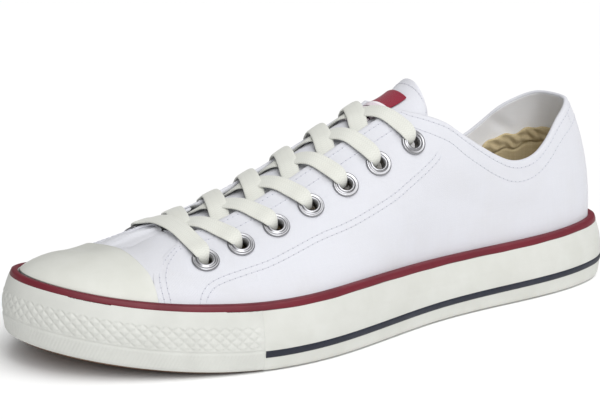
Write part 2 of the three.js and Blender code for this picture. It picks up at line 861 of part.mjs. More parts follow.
// Tongue face at a plan x; share runs across, -1 to 1 edge to edge, and down goes into it
function tongueFace(x, share, down) {
  const side = share < 0 ? -1 : 1;
  const wide = row(TONGUE, side > 0 ? 1 : 2, x / LENGTH);
  const p = sidePoint(x, side, Math.abs(share) * wide, -WALL - TONGUE_DROP - down);
  const s = clamp((TONGUE_LIFT_START - x) / (TONGUE_LIFT_START - TONGUE_TOP), 0, 1);
  return [p[0], p[1], p[2] + TONGUE_LIFT * s * s * (1 - Math.abs(share) ** 2.5)];
}

// Tongue, with stations closer together at its free end
{
  const steps = [0, 0.008, 0.02, 0.04, 0.074, 0.115, 0.164, 0.23, 0.31, 0.41, 0.525, 0.656, 0.787, 0.9, 1];
  const shares = [-1, -0.85, -0.6, -0.3, 0, 0.3, 0.6, 0.85, 1];
  const columns = steps.map((step) => {
    const x = TONGUE_TOP + step * (TONGUE_FOOT - TONGUE_TOP);
    return [
      ...shares.map((v) => tongueFace(x, v, 0)),
      ...[...shares].reverse().map((v) => tongueFace(x, v, TONGUE_THICK)),
    ];
  });
  add("tongue", weave(columns, false, true), 0xe7e7ea, 0.95);
}

// Plain label on the tongue
{
  const columns = [];
  const wide = LABEL_WIDE / 2;
  for (let i = 0; i <= 8; i += 1) {
    const x = LABEL_FROM + (LABEL_LONG * i) / 8;
    const reach = (side) => Math.abs(tongueFace(x, side, 0)[1] - ridgeY(x));
    const shares = [-1, -0.5, 0, 0.5, 1].map((v) => (v * wide) / reach(v < 0 ? -1 : 1));
    columns.push([
      ...shares.map((v) => lifted(tongueFace(x, v, 0), LABEL_CLEAR + LABEL_THICK)),
      ...[...shares].reverse().map((v) => lifted(tongueFace(x, v, 0), LABEL_CLEAR)),
    ]);
  }
  add("tongue_label", weave(columns, false, true), 0x8a2336, 0.8);
}

function lifted(p, up) {
  return [p[0], p[1], p[2] + up];
}

// Eyelet centres on the quarters with their outward direction
function eyeletPlaces() {
  const out = [];
  for (const side of [1, -1]) {
    EYELETS.forEach((e, i) => {
      const x = e[0] * LENGTH;
      const share = e[side > 0 ? 1 : 2];
      const face = (dx, ds) => new THREE.Vector3(...sidePoint(x + dx, side, share + ds, QUARTER_STEP));
      const along = face(1, 0).sub(face(-1, 0));
      const across = face(0, EYELET_PROBE).sub(face(0, -EYELET_PROBE));
      const normal = along.cross(across).normalize().multiplyScalar(side);
      const name = `eyelet_${side > 0 ? "outer" : "inner"}_${i + 1}`;
      out.push({ name, side, at: face(0, 0), normal });
    });
  }
  return out;
}

function stand(g, e, up) {
  const turned = new THREE.Quaternion().setFromUnitVectors(new THREE.Vector3(0, 1, 0), e.normal);
  g.translate(0, up, 0);
  g.applyQuaternion(turned);
  g.translate(e.at.x, e.at.y, e.at.z);
  return g;
}

function drill(e) {
  const bar = new THREE.CylinderGeometry(EYELET_HOLE, EYELET_HOLE, DRILL_LONG, DRILL_SIDES);
  return tidy(stand(bar, e, -1));
}

// Eyelets
for (const e of eyeletPlaces()) {
  const profile = [
    [EYELET_HOLE, 0],
    [EYELET_FLANGE, 0],
    [EYELET_FLANGE - 0.2, 0.6 * EYELET_TALL],
    [(EYELET_HOLE + EYELET_FLANGE) / 2, EYELET_TALL],
    [EYELET_HOLE, 0.7 * EYELET_TALL],
    [EYELET_HOLE, 0],
  ].map((p) => new THREE.Vector2(p[0], p[1]));
  const g = outwards(tidy(stand(new THREE.LatheGeometry(profile, EYELET_SIDES), e, GAP + 0.1)));
  add(e.name, g, 0xc9cacb, 0.25, 1);
}

// Flat band laid over the upper, in plan from a to b; rise gives its height along it
function band(a, b, rise) {
  const STEPS = 12;
  const d = new THREE.Vector2(b[0] - a[0], b[1] - a[1]).normalize();
  const columns = [];
  for (let i = 0; i <= STEPS; i += 1) {
    const s = i / STEPS;
    const x = a[0] + (b[0] - a[0]) * s;
    const y = a[1] + (b[1] - a[1]) * s;
    const place = [-0.5, 0, 0.5].map((v) => [x - d.y * v * LACE_WIDE, y + d.x * v * LACE_WIDE]);
    columns.push([
      ...place.map((p) => [p[0], p[1], surfaceZ(p[0], p[1], rise(s) + LACE_THICK)]),
      ...[...place].reverse().map((p) => [p[0], p[1], surfaceZ(p[0], p[1], rise(s))]),
    ]);
  }
  return weave(columns, false, true);
}

// Plan point of an eyelet, by row and side
function eyeletPlan(number, side) {
  const e = eyeletPlaces().find((p) => p.side === side && p.name.endsWith(`_${number}`));
  return new THREE.Vector2(e.at.x, e.at.y);
}

// Lace: bar across the first row
{
  const outer = eyeletPlan(1, 1);
  const inner = eyeletPlan(1, -1);
  const run = inner.clone().sub(outer).normalize().multiplyScalar(LACE_BACK);
  outer.add(run);
  inner.sub(run);
  add("lace_bar", band([outer.x, outer.y], [inner.x, inner.y], () => LACE_CLEAR), 0xe4e5df, 0.9);
}

// Lace crossings: each strand leaves an eyelet, crosses and dives under the far edge of the throat
for (let i = 1; i < EYELETS.length; i += 1) {
  const strand = (side, over) => {
    const eye = eyeletPlan(i + 1, side);
    const x = eye.x + LACE_REACH * (eyeletPlan(i, side).x - eye.x);
    const far = new THREE.Vector2(x, ridgeY(x) - side * LACE_EDGE);
    const run = far.clone().sub(eye).normalize();
    const start = eye.clone().addScaledVector(run, LACE_BACK);
    const middle = (start.y - ridgeY(x)) / (start.y - far.y);
    const rise = (s) => {
      const hump = over ? LACE_RISE * Math.exp(-(((s - middle) / 0.18) ** 2)) : 0;
      const dive = LACE_DIVE * clamp((s - 0.82) / 0.18, 0, 1);
      return LACE_CLEAR + hump - dive;
    };
    return toSolid(band([start.x, start.y], [far.x, far.y], rise));
  };
  add(`lace_cross_${i}`, fromSolid(strand(-1, true).add(strand(1, false))), 0xe4e5df, 0.9);
}

// Origin at the middle of the underside of the whole shoe
const bounds = new THREE.Box3().setFromObject(parts);
const home = bounds.getCenter(new THREE.Vector3());
for (const mesh of parts.children) mesh.geometry.translate(-home.x, -home.y, -bounds.min.z);

export default parts;
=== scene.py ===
# Low canvas sneaker, left shoe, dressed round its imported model.
# Shapes are worked out in millimetres from the heel end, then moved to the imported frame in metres.
import math
import bmesh
import bpy
import numpy as np
from mathutils import Matrix, Vector
from mathutils.kdtree import KDTree


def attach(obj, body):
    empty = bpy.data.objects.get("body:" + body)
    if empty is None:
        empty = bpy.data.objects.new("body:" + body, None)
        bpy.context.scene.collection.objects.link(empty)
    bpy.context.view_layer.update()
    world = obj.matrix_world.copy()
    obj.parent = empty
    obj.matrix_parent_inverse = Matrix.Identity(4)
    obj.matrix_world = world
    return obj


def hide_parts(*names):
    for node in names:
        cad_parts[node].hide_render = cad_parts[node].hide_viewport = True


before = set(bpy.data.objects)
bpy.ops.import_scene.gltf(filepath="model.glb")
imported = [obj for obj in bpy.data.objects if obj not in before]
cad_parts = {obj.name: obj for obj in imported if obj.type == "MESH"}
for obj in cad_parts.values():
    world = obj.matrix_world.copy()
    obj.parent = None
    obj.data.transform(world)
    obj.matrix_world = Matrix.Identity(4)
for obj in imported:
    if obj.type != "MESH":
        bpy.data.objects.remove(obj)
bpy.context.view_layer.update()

# Camera, from the photograph's own edges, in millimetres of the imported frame
CAMERA_AT = (421.590, 578.008, 230.422)
CAMERA_RIGHT = (-0.820501, 0.571568, 0.009409)
CAMERA_UP = (-0.134840, -0.209509, 0.968465)
CAMERA_BACK = (0.555515, 0.793357, 0.248972)
LENS = 101.557
SENSOR = 36

# Main sizes
HOME = (148.936, -0.407, 0.0)
LENGTH = 298
BALL_WIDTH = 106.5
HEIGHT = 100
TOE_SPRING = 12
ROLL_START = 0.7
HEEL_LIFT = 1.5
HEEL_START = 0.06
RIM_INSET = 4.1
RIM_DROP = 1.5
UPPER_INSET = 7.6
FLOOR_TOP = 11
WALL = 1.6
QUARTER_STEP = 0.7
TOE_CENTRE = 0.832 * LENGTH
HEEL_CENTRE = 0.141 * LENGTH
CENTRE_SOFT = 0.087 * LENGTH
THROAT_TOP = 0.416 * LENGTH
CLOSE_STATION = 0.8255 * LENGTH
BUMPER_END = 0.73 * LENGTH
CAP_FOOT = 0.845 * LENGTH
CAP_BOW = 2.4
CAP_SWEEP = 2.6
# Inner shoulder of the toe cap, a little lower than the form: depth, middle x and y, half length, half width
SHOULDER = (3.1, 259, -22, 11, 16)
CAP_HALF = 0.3 * BALL_WIDTH
CAP_UNDER = 0.45
CAP_THICK = 1.4
TONGUE_TOP = 0.3624 * LENGTH
TONGUE_FOOT = 0.787 * LENGTH
TONGUE_LIFT = 5.5
TONGUE_LIFT_START = 0.4128 * LENGTH
TONGUE_DROP = 1.3
TONGUE_THICK = 2.2
EYELET_DRILL = 3
LACE_UNDER_SHIFT = 20
INSOLE_GAP = 0.4
VAMP_BACK = 214
VAMP_TURN = 246
CAP_REACH = 274
# Steps of the collar and throat line, and rounds that find the section over a plan point
OPENING_STEPS = 1441
SECTION_TRIES = 10

# Sole outline, heel to toe on the outer side, then back: share of LENGTH, share of BALL_WIDTH
OUTLINE = [
    (-.004, 0), (.006, .2), (.06, .3), (.16, .355), (.28, .35), (.4, .365), (.52, .45), (.64, .52),
    (.76, .475), (.87, .35), (.955, .19), (1, .01), (1.004, -.18), (.965, -.355), (.88, -.475),
    (.78, -.52), (.68, -.5), (.57, -.415), (.45, -.33), (.33, -.3), (.2, -.325), (.085, -.32), (.006, -.205),
]
# Top line of the sole wall: share of LENGTH, share of HEIGHT
RIM = [(0, .301), (.15, .282), (.35, .273), (.55, .28), (.75, .279), (.9, .325), (1, .389)]
# Upper sections: share of LENGTH, ridge height, ridge y, top roundness
SECTIONS = [
    (0, 1, .0094, 1.8), (.12, 1.02, .0094, 1.9), (.22, 1.04, .0047, 2.6), (.34, .995, -.0038, 3.4),
    (.42, .938, -.0094, 2.9), (.48, .865, -.0131, 1.95), (.54, .78, -.0169, 1.4), (.6, .688, -.0207, 1.2),
    (.66, .606, -.0244, 1.1), (.72, .542, -.0282, 1.1), (.78, .484, -.0338, 1.25), (.85, .422, -.0432, 1.7),
    (1, .396, -.0563, 1.8),
]
# Collar line, heel to throat: share of LENGTH, share of HEIGHT
COLLAR = [
    (.0537, .86), (.0738, .853), (.1007, .815), (.1275, .77), (.1544, .705), (.1812, .653), (.2081, .63),
    (.2349, .634), (.2651, .67), (.2953, .722), (.3255, .78), (.3523, .838), (.3758, .866), (.4161, .9),
]
# Half of the throat opening: share of LENGTH, share of BALL_WIDTH
THROAT = [
    (.3356, .1221), (.4161, .1221), (.5369, .1221), (.6544, .1183), (.735, .1146), (.757, .107),
    (.7705, .0798), (.7805, 0),
]
# Front edge of the quarters: distance from the ridge line as a share of BALL_WIDTH, share of LENGTH
QUARTER_EDGE = [
    (0, .7795), (.1127, .78), (.1369, .786), (.1563, .803), (.1784, .8175), (.2066, .832), (.2347, .841),
    (.2723, .8475), (.3192, .851), (.5634, .852),
]
# Tongue: share of LENGTH, share of the way to the outer side, to the inner side
TONGUE = [
    (.3624, .478, .63), (.3691, .6, .76), (.3826, .68, .84), (.4094, .69, .87), (.5034, .585, .8),
    (.6376, .436, .543), (.7215, .381, .414), (.787, .341, .34),
]
# Eyelets, toe to ankle: share of LENGTH, share of the way to the outer side, to the inner side
EYELETS = [
    (.7685, .6422, .6482), (.7128, .5887, .6438), (.655, .5654, .6731), (.5977, .5775, .7359),
    (.5383, .6179, .8201), (.4805, .675, .9041), (.4181, .7417, .9716),
]


def row(table, column, x):
    """Smooth curve through one column of a table."""
    t = np.array([r[0] for r in table], float)
    v = np.array([r[column] for r in table], float)
    x = np.clip(np.asarray(x, float), t[0], t[-1])
    h = np.diff(t)
    s = np.diff(v) / h
    inner = (s[:-1] * h[1:] + s[1:] * h[:-1]) / (h[:-1] + h[1:])
    g = np.concatenate([[s[0]], inner, [s[-1]]])
    i = np.clip(np.searchsorted(t, x, "left") - 1, 0, len(t) - 2)
    f = (x - t[i]) / h[i]
    a = (2 * f - 3) * f * f + 1
    b = ((f - 2) * f + 1) * f
    d = (f - 1) * f * f
    return a * v[i] + b * h[i] * g[i] + (1 - a) * v[i + 1] + d * h[i] * g[i + 1]


def outline(points, u):
    """Place and direction on the closed curve that the outline's points pull."""
    p = np.asarray(points, float)
    n = len(p)
    w = (np.asarray(u, float) % 1.0) * n
    i = np.floor(w).astype(int)
    f = w - i
    g = 1 - f
    near = [g**3 / 6, (3 * f**3 - 6 * f * f + 4) / 6, (-3 * f**3 + 3 * f * f + 3 * f + 1) / 6, f**3 / 6]
    lean = [-g * g / 2, (3 * f * f - 4 * f) / 2, (-3 * f * f + 2 * f + 1) / 2, f * f / 2]
    place = sum(near[j][..., None] * p[(i + j - 1) % n] for j in range(4))
    along = sum(lean[j][..., None] * p[(i + j - 1) % n] for j in range(4))
    return place, along


def fit_outline():
    """The outline's points in millimetres, for a curve exactly as long and wide as the sole."""
    curve = outline(OUTLINE, np.arange(2000) / 2000)[0]
    low = curve.min(0)
    long, wide = curve.max(0) - low
    return [((a - low[0]) / long * LENGTH, b / wide * BALL_WIDTH) for a, b in OUTLINE]


LAST = fit_outline()


def turn(u0):
    """Where the outline turns back, near u0."""
    lo, hi = u0 - .05, u0 + .05
    rising = outline(LAST, np.array([lo]))[1][0, 0] > 0
    for _ in range(50):
        mid = (lo + hi) / 2
        if (outline(LAST, np.array([mid]))[1][0, 0] > 0) == rising:
            lo = mid
        else:
            hi = mid
    return (lo + hi) / 2


U_HEEL = turn(0)
U_TOE = turn(11.6 / len(OUTLINE))
U_END = U_HEEL + 1


def alike(*values):
    """Numbers and arrays as arrays of one shape."""
    return np.broadcast_arrays(*(np.asarray(v, float) for v in values))


def station_of(u):
    """Plan x of places on the outline."""
    return outline(LAST, u)[0][..., 0]


def halve(shape, top, below, tries=40):
    """Halving search over an array, from 0 to top: the last place where below is true."""
    lo, hi = np.zeros(shape), np.full(shape, float(top))
    for _ in range(tries):
        mid = (lo + hi) / 2
        yes = below(mid)
        lo = np.where(yes, mid, lo)
        hi = np.where(yes, hi, mid)
    return (lo + hi) / 2


def place(side, x):
    """Place on the outline of a station x, on the outer (1) or inner (-1) side."""
    side, x = alike(side, x)
    start = np.where(side > 0, U_HEEL, U_END)
    share = halve(x.shape, 1, lambda m: station_of(start + (U_TOE - start) * m) < x)
    return start + (U_TOE - start) * share


def edge(u, inset):
    """Plan point on the outline, moved inwards."""
    p, t = outline(LAST, u)
    n = np.hypot(t[..., 0], t[..., 1])[..., None]
    return p + np.stack([t[..., 1], -t[..., 0]], -1) / n * np.asarray(inset, float)[..., None]


def clamp(v, lo=0, hi=1):
    return np.clip(v, lo, hi)


def smooth(lo, hi, v):
    f = clamp((np.asarray(v, float) - lo) / (hi - lo))
    return f * f * (3 - 2 * f)


def floor_z(x):
    s = np.asarray(x) / LENGTH
    toe = clamp((s - ROLL_START) / (1 - ROLL_START))
    heel = clamp((HEEL_START - s) / HEEL_START)
    return TOE_SPRING * toe**2 + HEEL_LIFT * heel**2


def rim_z(x):
    return HEIGHT * row(RIM, 1, np.asarray(x) / LENGTH)


def ridge_z(x):
    return HEIGHT * row(SECTIONS, 1, np.asarray(x) / LENGTH)


def ridge_y(x):
    return BALL_WIDTH * row(SECTIONS, 2, np.asarray(x) / LENGTH)


def top_round(x):
    return row(SECTIONS, 3, np.asarray(x) / LENGTH)


def collar_z(x):
    return HEIGHT * row(COLLAR, 1, np.asarray(x) / LENGTH)


def throat_gap(x):
    return BALL_WIDTH * row(THROAT, 1, np.asarray(x) / LENGTH)


def quarter_x(distance):
    return LENGTH * row(QUARTER_EDGE, 1, np.asarray(distance) / BALL_WIDTH)


def cap_x(y):
    share = clamp(np.abs(y - ridge_y(CAP_FOOT)) / CAP_HALF)
    sweep = CAP_SWEEP * smooth(.75, 1.2, np.abs(y - ridge_y(CAP_FOOT)) / CAP_HALF)
    return CAP_FOOT + CAP_BOW * (1 - share**2) + sweep


def spine_x(x):
    toe = .5 * (x + TOE_CENTRE - np.hypot(x - TOE_CENTRE, CENTRE_SOFT))
    return .5 * (toe + HEEL_CENTRE + np.hypot(toe - HEEL_CENTRE, CENTRE_SOFT))


def form(u, angle, extra):
    """Outer form of the upper: outline place, section angle from the rim up, thickness added outwards."""
    u, angle, extra = alike(u, angle, extra)
    b = edge(u, UPPER_INSET - extra)
    cx = spine_x(station_of(u))
    z0 = rim_z(b[..., 0]) - RIM_DROP
    z1 = ridge_z(cx) + extra
    yc = ridge_y(cx)
    r = clamp(np.cos(angle))
    k = clamp(np.sin(angle)) ** (2 / top_round(cx))
    x, y = cx + (b[..., 0] - cx) * r, yc + (b[..., 1] - yc) * r
    depth, x_at, y_at, long, wide = SHOULDER
    lower = depth * np.exp(-((x - x_at) / long) ** 2 - ((y - y_at) / wide) ** 2)
    return np.stack([x, y, z0 + (z1 - z0) * k - lower * k], -1)


def foot(u, share, extra):
    """The wall of the upper below the rim, down to the insole; share is 0 at the insole and 1 at the rim."""
    u, share, extra = alike(u, share, extra)
    b = edge(u, UPPER_INSET - extra)
    low = floor_z(b[..., 0]) + FLOOR_TOP + INSOLE_GAP
    high = rim_z(b[..., 0]) - RIM_DROP
    return np.stack([b[..., 0], b[..., 1], low + (high - low) * share], -1)


def side_point(x, side, share, extra):
    """The form at a plan x, a share of the way from the ridge line to one side."""
    x, side, share, extra = alike(x, side, share, extra)
    angle = np.arccos(share)
    station = x
    for _ in range(SECTION_TRIES):
        p = form(place(side, station), angle, extra)
        station = station + x - p[..., 0]
    return p


def over(x, y, extra):
    """The form over a plan point."""
    x, y, extra = alike(x, y, extra)
    station = x
    for _ in range(SECTION_TRIES):
        yc = ridge_y(spine_x(station))
        side = np.where(y >= yc, 1.0, -1.0)
        u = place(side, station)
        b = edge(u, UPPER_INSET - extra)
        p = form(u, np.arccos(clamp((y - yc) / (b[..., 1] - yc))), extra)
        station = station + x - p[..., 0]
    return np.stack([x, y, p[..., 2]], -1)


def opening(extra):
    """Section angle at which each place on the outline meets the collar or the throat."""
    u = np.linspace(U_HEEL, U_END, OPENING_STEPS)
    x = station_of(u)

    def below(angle):
        p = form(u, angle, extra)
        collar = p[..., 2] < collar_z(p[..., 0])
        throat = np.abs(p[..., 1] - ridge_y(p[..., 0])) > throat_gap(p[..., 0])
        return np.where(p[..., 0] < THROAT_TOP, collar, throat)

    top = halve(u.shape, np.pi / 2, below)
    return u, np.where(x >= CLOSE_STATION, np.pi / 2, top)


OPEN_OUT = opening(0)
OPEN_IN = opening(-WALL)


def top_angle(u, table=OPEN_OUT):
    """Section angle of the collar or throat at places on the outline."""
    return np.interp(U_HEEL + (np.asarray(u) - U_HEEL) % 1.0, *table)


# Mesh making
def in_scene(name, data):
    """A new object of the scene."""
    made = bpy.data.objects.new(name, data)
    bpy.context.scene.collection.objects.link(made)
    return made


def add_mesh(name, points, faces, materials, face_material=None, uv=None, replaces=()):
    """A piece from points in millimetres of the shape frame."""
    data = bpy.data.meshes.new(name)
    data.from_pydata(((np.asarray(points, float) - HOME) / 1000).tolist(), [], faces)
    for m in materials if isinstance(materials, (list, tuple)) else [materials]:
        data.materials.append(m)
    data.polygons.foreach_set("use_smooth", [True] * len(data.polygons))
    if face_material is not None:
        data.polygons.foreach_set("material_index", face_material)
    if uv is not None:
        layer = data.uv_layers.new(name="cloth")
        corners = np.empty(len(data.loops), np.int64)
        data.loops.foreach_get("vertex_index", corners)
        layer.data.foreach_set("uv", (np.asarray(uv, float)[corners] / 1000).astype(np.float32).ravel())
    data.update()
    piece = in_scene(name, data)
    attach(piece, "root")
    if replaces:
        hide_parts(*replaces)
    return piece


def run_length(grid, axis):
    """Length along a grid of points, from its first row or column."""
    step = np.linalg.norm(np.diff(grid, axis=axis), axis=-1)
    zero = np.zeros_like(np.take(step, [0], axis=axis))
    return np.concatenate([zero, np.cumsum(step, axis=axis)], axis=axis)


def cloth_uv(grid):
    """Millimetres along and across a grid."""
    along = run_length(grid, 0)
    across = run_length(grid, 1)
    return np.stack([np.broadcast_to(along.mean(1, keepdims=True), across.shape), across], -1)


def sheet(name, out, inn, materials, ring=False, bulge=.5, skip_top=None, **more):
    """A closed sheet between two grids, with rounded edges. Materials: outside and edge, then inside."""
    ni, nj = out.shape[:2]
    points = [out.reshape(-1, 3), inn.reshape(-1, 3)]
    uv = [cloth_uv(out).reshape(-1, 2), cloth_uv(inn).reshape(-1, 2)]
    count = 2 * ni * nj
    at = np.arange(ni * nj).reshape(ni, nj)
    back = at + ni * nj
    cols = ni if ring else ni - 1
    i0 = np.arange(cols)
    i1 = (i0 + 1) % ni
    outer, inner = (np.stack([g[i0][:, :-1], g[i1][:, :-1], g[i1][:, 1:], g[i0][:, 1:]], -1).reshape(-1, 4)
                    for g in (at, back))
    faces = [outer, inner[:, ::-1]]
    kinds = [0] * len(outer) + [1] * len(inner)

    def border(index, neighbour, closed, skip=None):
        nonlocal count
        a, b = points[0][index], points[1][index]
        away = (a + b) / 2 - (points[0][neighbour] + points[1][neighbour]) / 2
        away /= np.maximum(np.linalg.norm(away, axis=1, keepdims=True), 1e-9)
        thick = np.linalg.norm(a - b, axis=1, keepdims=True)
        rows = [index]
        for f in (.2, .5, .8):
            p = a + (b - a) * f + away * thick * bulge * math.sin(math.pi * f) * .8
            points.append(p)
            uv.append(uv[0][index] + [0, 1 + f])
            rows.append(np.arange(count, count + len(index)))
            count += len(index)
        rows.append(index + ni * nj)
        n = len(index)
        s = np.arange(n if closed else n - 1)
        t = (s + 1) % n
        if skip is not None:
            shown = ~(skip[s] & skip[t])
            s, t = s[shown], t[shown]
        for r0, r1 in zip(rows[:-1], rows[1:]):
            faces.append(np.stack([r0[t], r0[s], r1[s], r1[t]], -1))
            kinds.extend([0] * len(s))

    border(at[:, -1][::-1], at[:, -2][::-1], ring, None if skip_top is None else skip_top[::-1])
    border(at[:, 0], at[:, 1], ring)
    if not ring:
        border(at[-1], at[-2], False)
        border(at[0][::-1], at[1][::-1], False)
    quads = np.concatenate(faces).tolist()
    cloth = materials if isinstance(materials, (list, tuple)) else [materials, materials]
    return add_mesh(name, np.concatenate(points), quads, cloth, kinds, np.concatenate(uv), **more)


def close_corners(piece):
    """Merges doubled corners and turns every face outwards."""
    work = bmesh.new()
    work.from_mesh(piece.data)
    bmesh.ops.remove_doubles(work, verts=work.verts, dist=2e-6)
    bmesh.ops.holes_fill(work, edges=[e for e in work.edges if e.is_boundary], sides=12)
    bmesh.ops.recalc_face_normals(work, faces=work.faces)
    work.to_mesh(piece.data)
    work.free()
    return piece


def ring_faces(grid):
    """Faces of a grid whose first axis closes on itself."""
    at = np.arange(grid.shape[0] * grid.shape[1]).reshape(grid.shape[:2])
    nxt = np.roll(at, -1, 0)
    return np.stack([at[:, :-1], nxt[:, :-1], nxt[:, 1:], at[:, 1:]], -1).reshape(-1, 4).tolist()


def barrels(rings):
    """Closed barrels, as points, faces and uv. Axes of rings: barrel, ring along it, place round it."""
    n, m, k = rings.shape[:3]
    at = np.arange(n * m * k).reshape(n, m, k)
    nxt = np.roll(at, -1, 2)
    faces = np.stack([at[:, :-1], nxt[:, :-1], nxt[:, 1:], at[:, 1:]], -1).reshape(-1, 4).tolist()
    faces += at[:, 0, ::-1].tolist() + at[:, -1].tolist()
    return rings.reshape(-1, 3), faces, np.zeros((n * m * k, 2))


def tube(centres, wide, thick, across, up):
    """A flat cord: centres, width and thickness along it, with its across and up directions."""
    turns = np.linspace(0, 2 * np.pi, 20, endpoint=False)
    c, s = np.cos(turns), np.sin(turns)
    x = np.sign(c) * np.abs(c) ** .62
    y = np.sign(s) * np.abs(s) ** .8
    beside, above = x * wide[:, None] / 2, y * thick[:, None] / 2
    rings = centres[:, None] + across[:, None] * beside[..., None] + up[:, None] * above[..., None]
    points, faces, _ = barrels(rings[None])
    along = np.broadcast_to(run_length(centres[:, None], 0), beside.shape)
    uv = np.stack([along, beside + np.where(y < 0, LACE_UNDER_SHIFT, 0)], -1)
    return points, faces, uv.reshape(-1, 2)


def join(parts):
    """Several point, face and uv lists as one."""
    points, faces, uv, base = [], [], [], 0
    for p, f, t in parts:
        points.append(p)
        faces.extend([[i + base for i in face] for face in f])
        uv.append(t)
        base += len(p)
    return np.concatenate(points), faces, np.concatenate(uv)


def unit(v):
    return v / np.maximum(np.linalg.norm(v, axis=-1, keepdims=True), 1e-12)


def grid_normals(grid, ring=False):
    du = (np.roll(grid, -1, 0) - np.roll(grid, 1, 0)) if ring else np.gradient(grid, axis=0)
    dv = np.gradient(grid, axis=1)
    return unit(np.cross(du, dv))


# Materials
def node_group(name, inputs, outputs, make):
    group = bpy.data.node_groups.new(name, "ShaderNodeTree")
    for label, kind, value in inputs:
        socket = group.interface.new_socket(label, in_out="INPUT", socket_type=f"NodeSocket{kind}")
        if value is not None:
            socket.default_value = value
    for label, kind in outputs:
        group.interface.new_socket(label, in_out="OUTPUT", socket_type=f"NodeSocket{kind}")
    start, end = group.nodes.new("NodeGroupInput"), group.nodes.new("NodeGroupOutput")
    make(group, start.outputs, end.inputs)
    return group


def link(tree, value, socket):
    if isinstance(value, bpy.types.NodeSocket):
        tree.links.new(value, socket)
    elif value is not None:
        socket.default_value = value


def maths(tree, operation, *values):
    node = tree.nodes.new("ShaderNodeMath")
    node.operation = operation
    for value, socket in zip(values, node.inputs):
        link(tree, value, socket)
    return node.outputs[0]


def span(tree, value, low, high, to_low=0.0, to_high=1.0, soft=False):
    node = tree.nodes.new("ShaderNodeMapRange")
    node.interpolation_type = "SMOOTHSTEP" if soft else "LINEAR"
    for v, socket in zip((value, low, high, to_low, to_high), node.inputs):
        link(tree, v, socket)
    return node.outputs[0]


def noise(tree, vector, scale, detail=3.0, rough=.5):
    node = tree.nodes.new("ShaderNodeTexNoise")
    for name, value in (("Vector", vector), ("Scale", scale), ("Detail", detail), ("Roughness", rough)):
        link(tree, value, node.inputs[name])
    return node.outputs["Fac"]


def mix(tree, share, a, b):
    node = tree.nodes.new("ShaderNodeMix")
    node.data_type = "RGBA"
    for value, socket in ((share, node.inputs[0]), (a, node.inputs[6]), (b, node.inputs[7])):
        link(tree, value, socket)
    return node.outputs[2]


def stretch(tree, vector, scale):
    node = tree.nodes.new("ShaderNodeMapping")
    link(tree, vector, node.inputs["Vector"])
    node.inputs["Scale"].default_value = scale
    return node.outputs[0]


def split(tree, vector):
    node = tree.nodes.new("ShaderNodeSeparateXYZ")
    link(tree, vector, node.inputs[0])
    return node.outputs


def make_weave(tree, given, made):
    """Plain weave: threads over and under each other, with thick and thin yarn."""
    x, y, _ = split(tree, given["Cloth"])
    turns = [maths(tree, "MULTIPLY", maths(tree, "MULTIPLY", v, given["Threads"]), math.pi) for v in (x, y)]
    sx, sy = (maths(tree, "SINE", v) for v in turns)
    warp = maths(tree, "ABSOLUTE", sx)
    weft = maths(tree, "ABSOLUTE", sy)
    which = maths(tree, "GREATER_THAN", maths(tree, "MULTIPLY", sx, sy), 0.0)
    height = maths(tree, "ADD", maths(tree, "MULTIPLY", warp, which),
                   maths(tree, "MULTIPLY", weft, maths(tree, "SUBTRACT", 1.0, which)))
    yarn = maths(tree, "ADD", noise(tree, stretch(tree, given["Cloth"], (60, 1600, 1)), 1.0, 2),
                 noise(tree, stretch(tree, given["Cloth"], (1600, 60, 1)), 1.0, 2))
    slub = span(tree, yarn, .7, 1.3)
    tree.links.new(maths(tree, "MULTIPLY", height, span(tree, slub, 0, 1, .55, 1.0)), made["Height"])
    tree.links.new(slub, made["Slub"])


def make_wear(tree, given, made):
    """Soft patches of dust and handling, heavier low down."""
    patches = span(tree, noise(tree, given["Place"], given["Size"], 5, .6), .42, .72)
    low = span(tree, split(tree, given["Place"])[2], given["Low"], given["High"], 1.0, 0.0, True)
    tree.links.new(maths(tree, "MULTIPLY", patches, span(tree, low, 0, 1, .25, 1.0)), made["Mask"])


def make_rubber(tree, given, made):
    """Moulded rubber: fine grain with slow mottling."""
    fine = noise(tree, given["Place"], 2600, 2)
    slow = noise(tree, given["Place"], 70, 4, .55)
    tree.links.new(span(tree, slow, .35, .7), made["Mottle"])
    tree.links.new(maths(tree, "ADD", fine, maths(tree, "MULTIPLY", slow, .6)), made["Height"])


def make_braid(tree, given, made):
    """Flat braid: slanting ribs that meet along the middle."""
    x, y, _ = split(tree, given["Cloth"])
    column = maths(tree, "FRACT", maths(tree, "MULTIPLY", y, 350.0))
    fold = maths(tree, "ABSOLUTE", maths(tree, "MULTIPLY", maths(tree, "SUBTRACT", column, .5), 2.0))
    slant = maths(tree, "ADD", maths(tree, "MULTIPLY", x, given["Ribs"]), maths(tree, "MULTIPLY", fold, .8))
    rib = maths(tree, "ABSOLUTE", maths(tree, "SINE", maths(tree, "MULTIPLY", slant, math.pi)))
    fuzz = noise(tree, given["Cloth"], 1500, 3)
    ribs = maths(tree, "MULTIPLY", rib, span(tree, fold, 0, .25, .5, 1))
    tree.links.new(maths(tree, "ADD", ribs, maths(tree, "MULTIPLY", fuzz, .5)), made["Height"])
    tree.links.new(fuzz, made["Fuzz"])


WEAVE = node_group("canvas weave", [("Cloth", "Vector", None), ("Threads", "Float", 1800.0)],
                   [("Height", "Float"), ("Slub", "Float")], make_weave)
WEAR = node_group("dust", [("Place", "Vector", None), ("Size", "Float", 60.0), ("Low", "Float", .0),
                           ("High", "Float", .05)], [("Mask", "Float")], make_wear)
RUBBER = node_group("moulded rubber", [("Place", "Vector", None)],
                    [("Height", "Float"), ("Mottle", "Float")], make_rubber)
BRAID = node_group("flat braid", [("Cloth", "Vector", None), ("Ribs", "Float", 900.0)],
                   [("Height", "Float"), ("Fuzz", "Float")], make_braid)


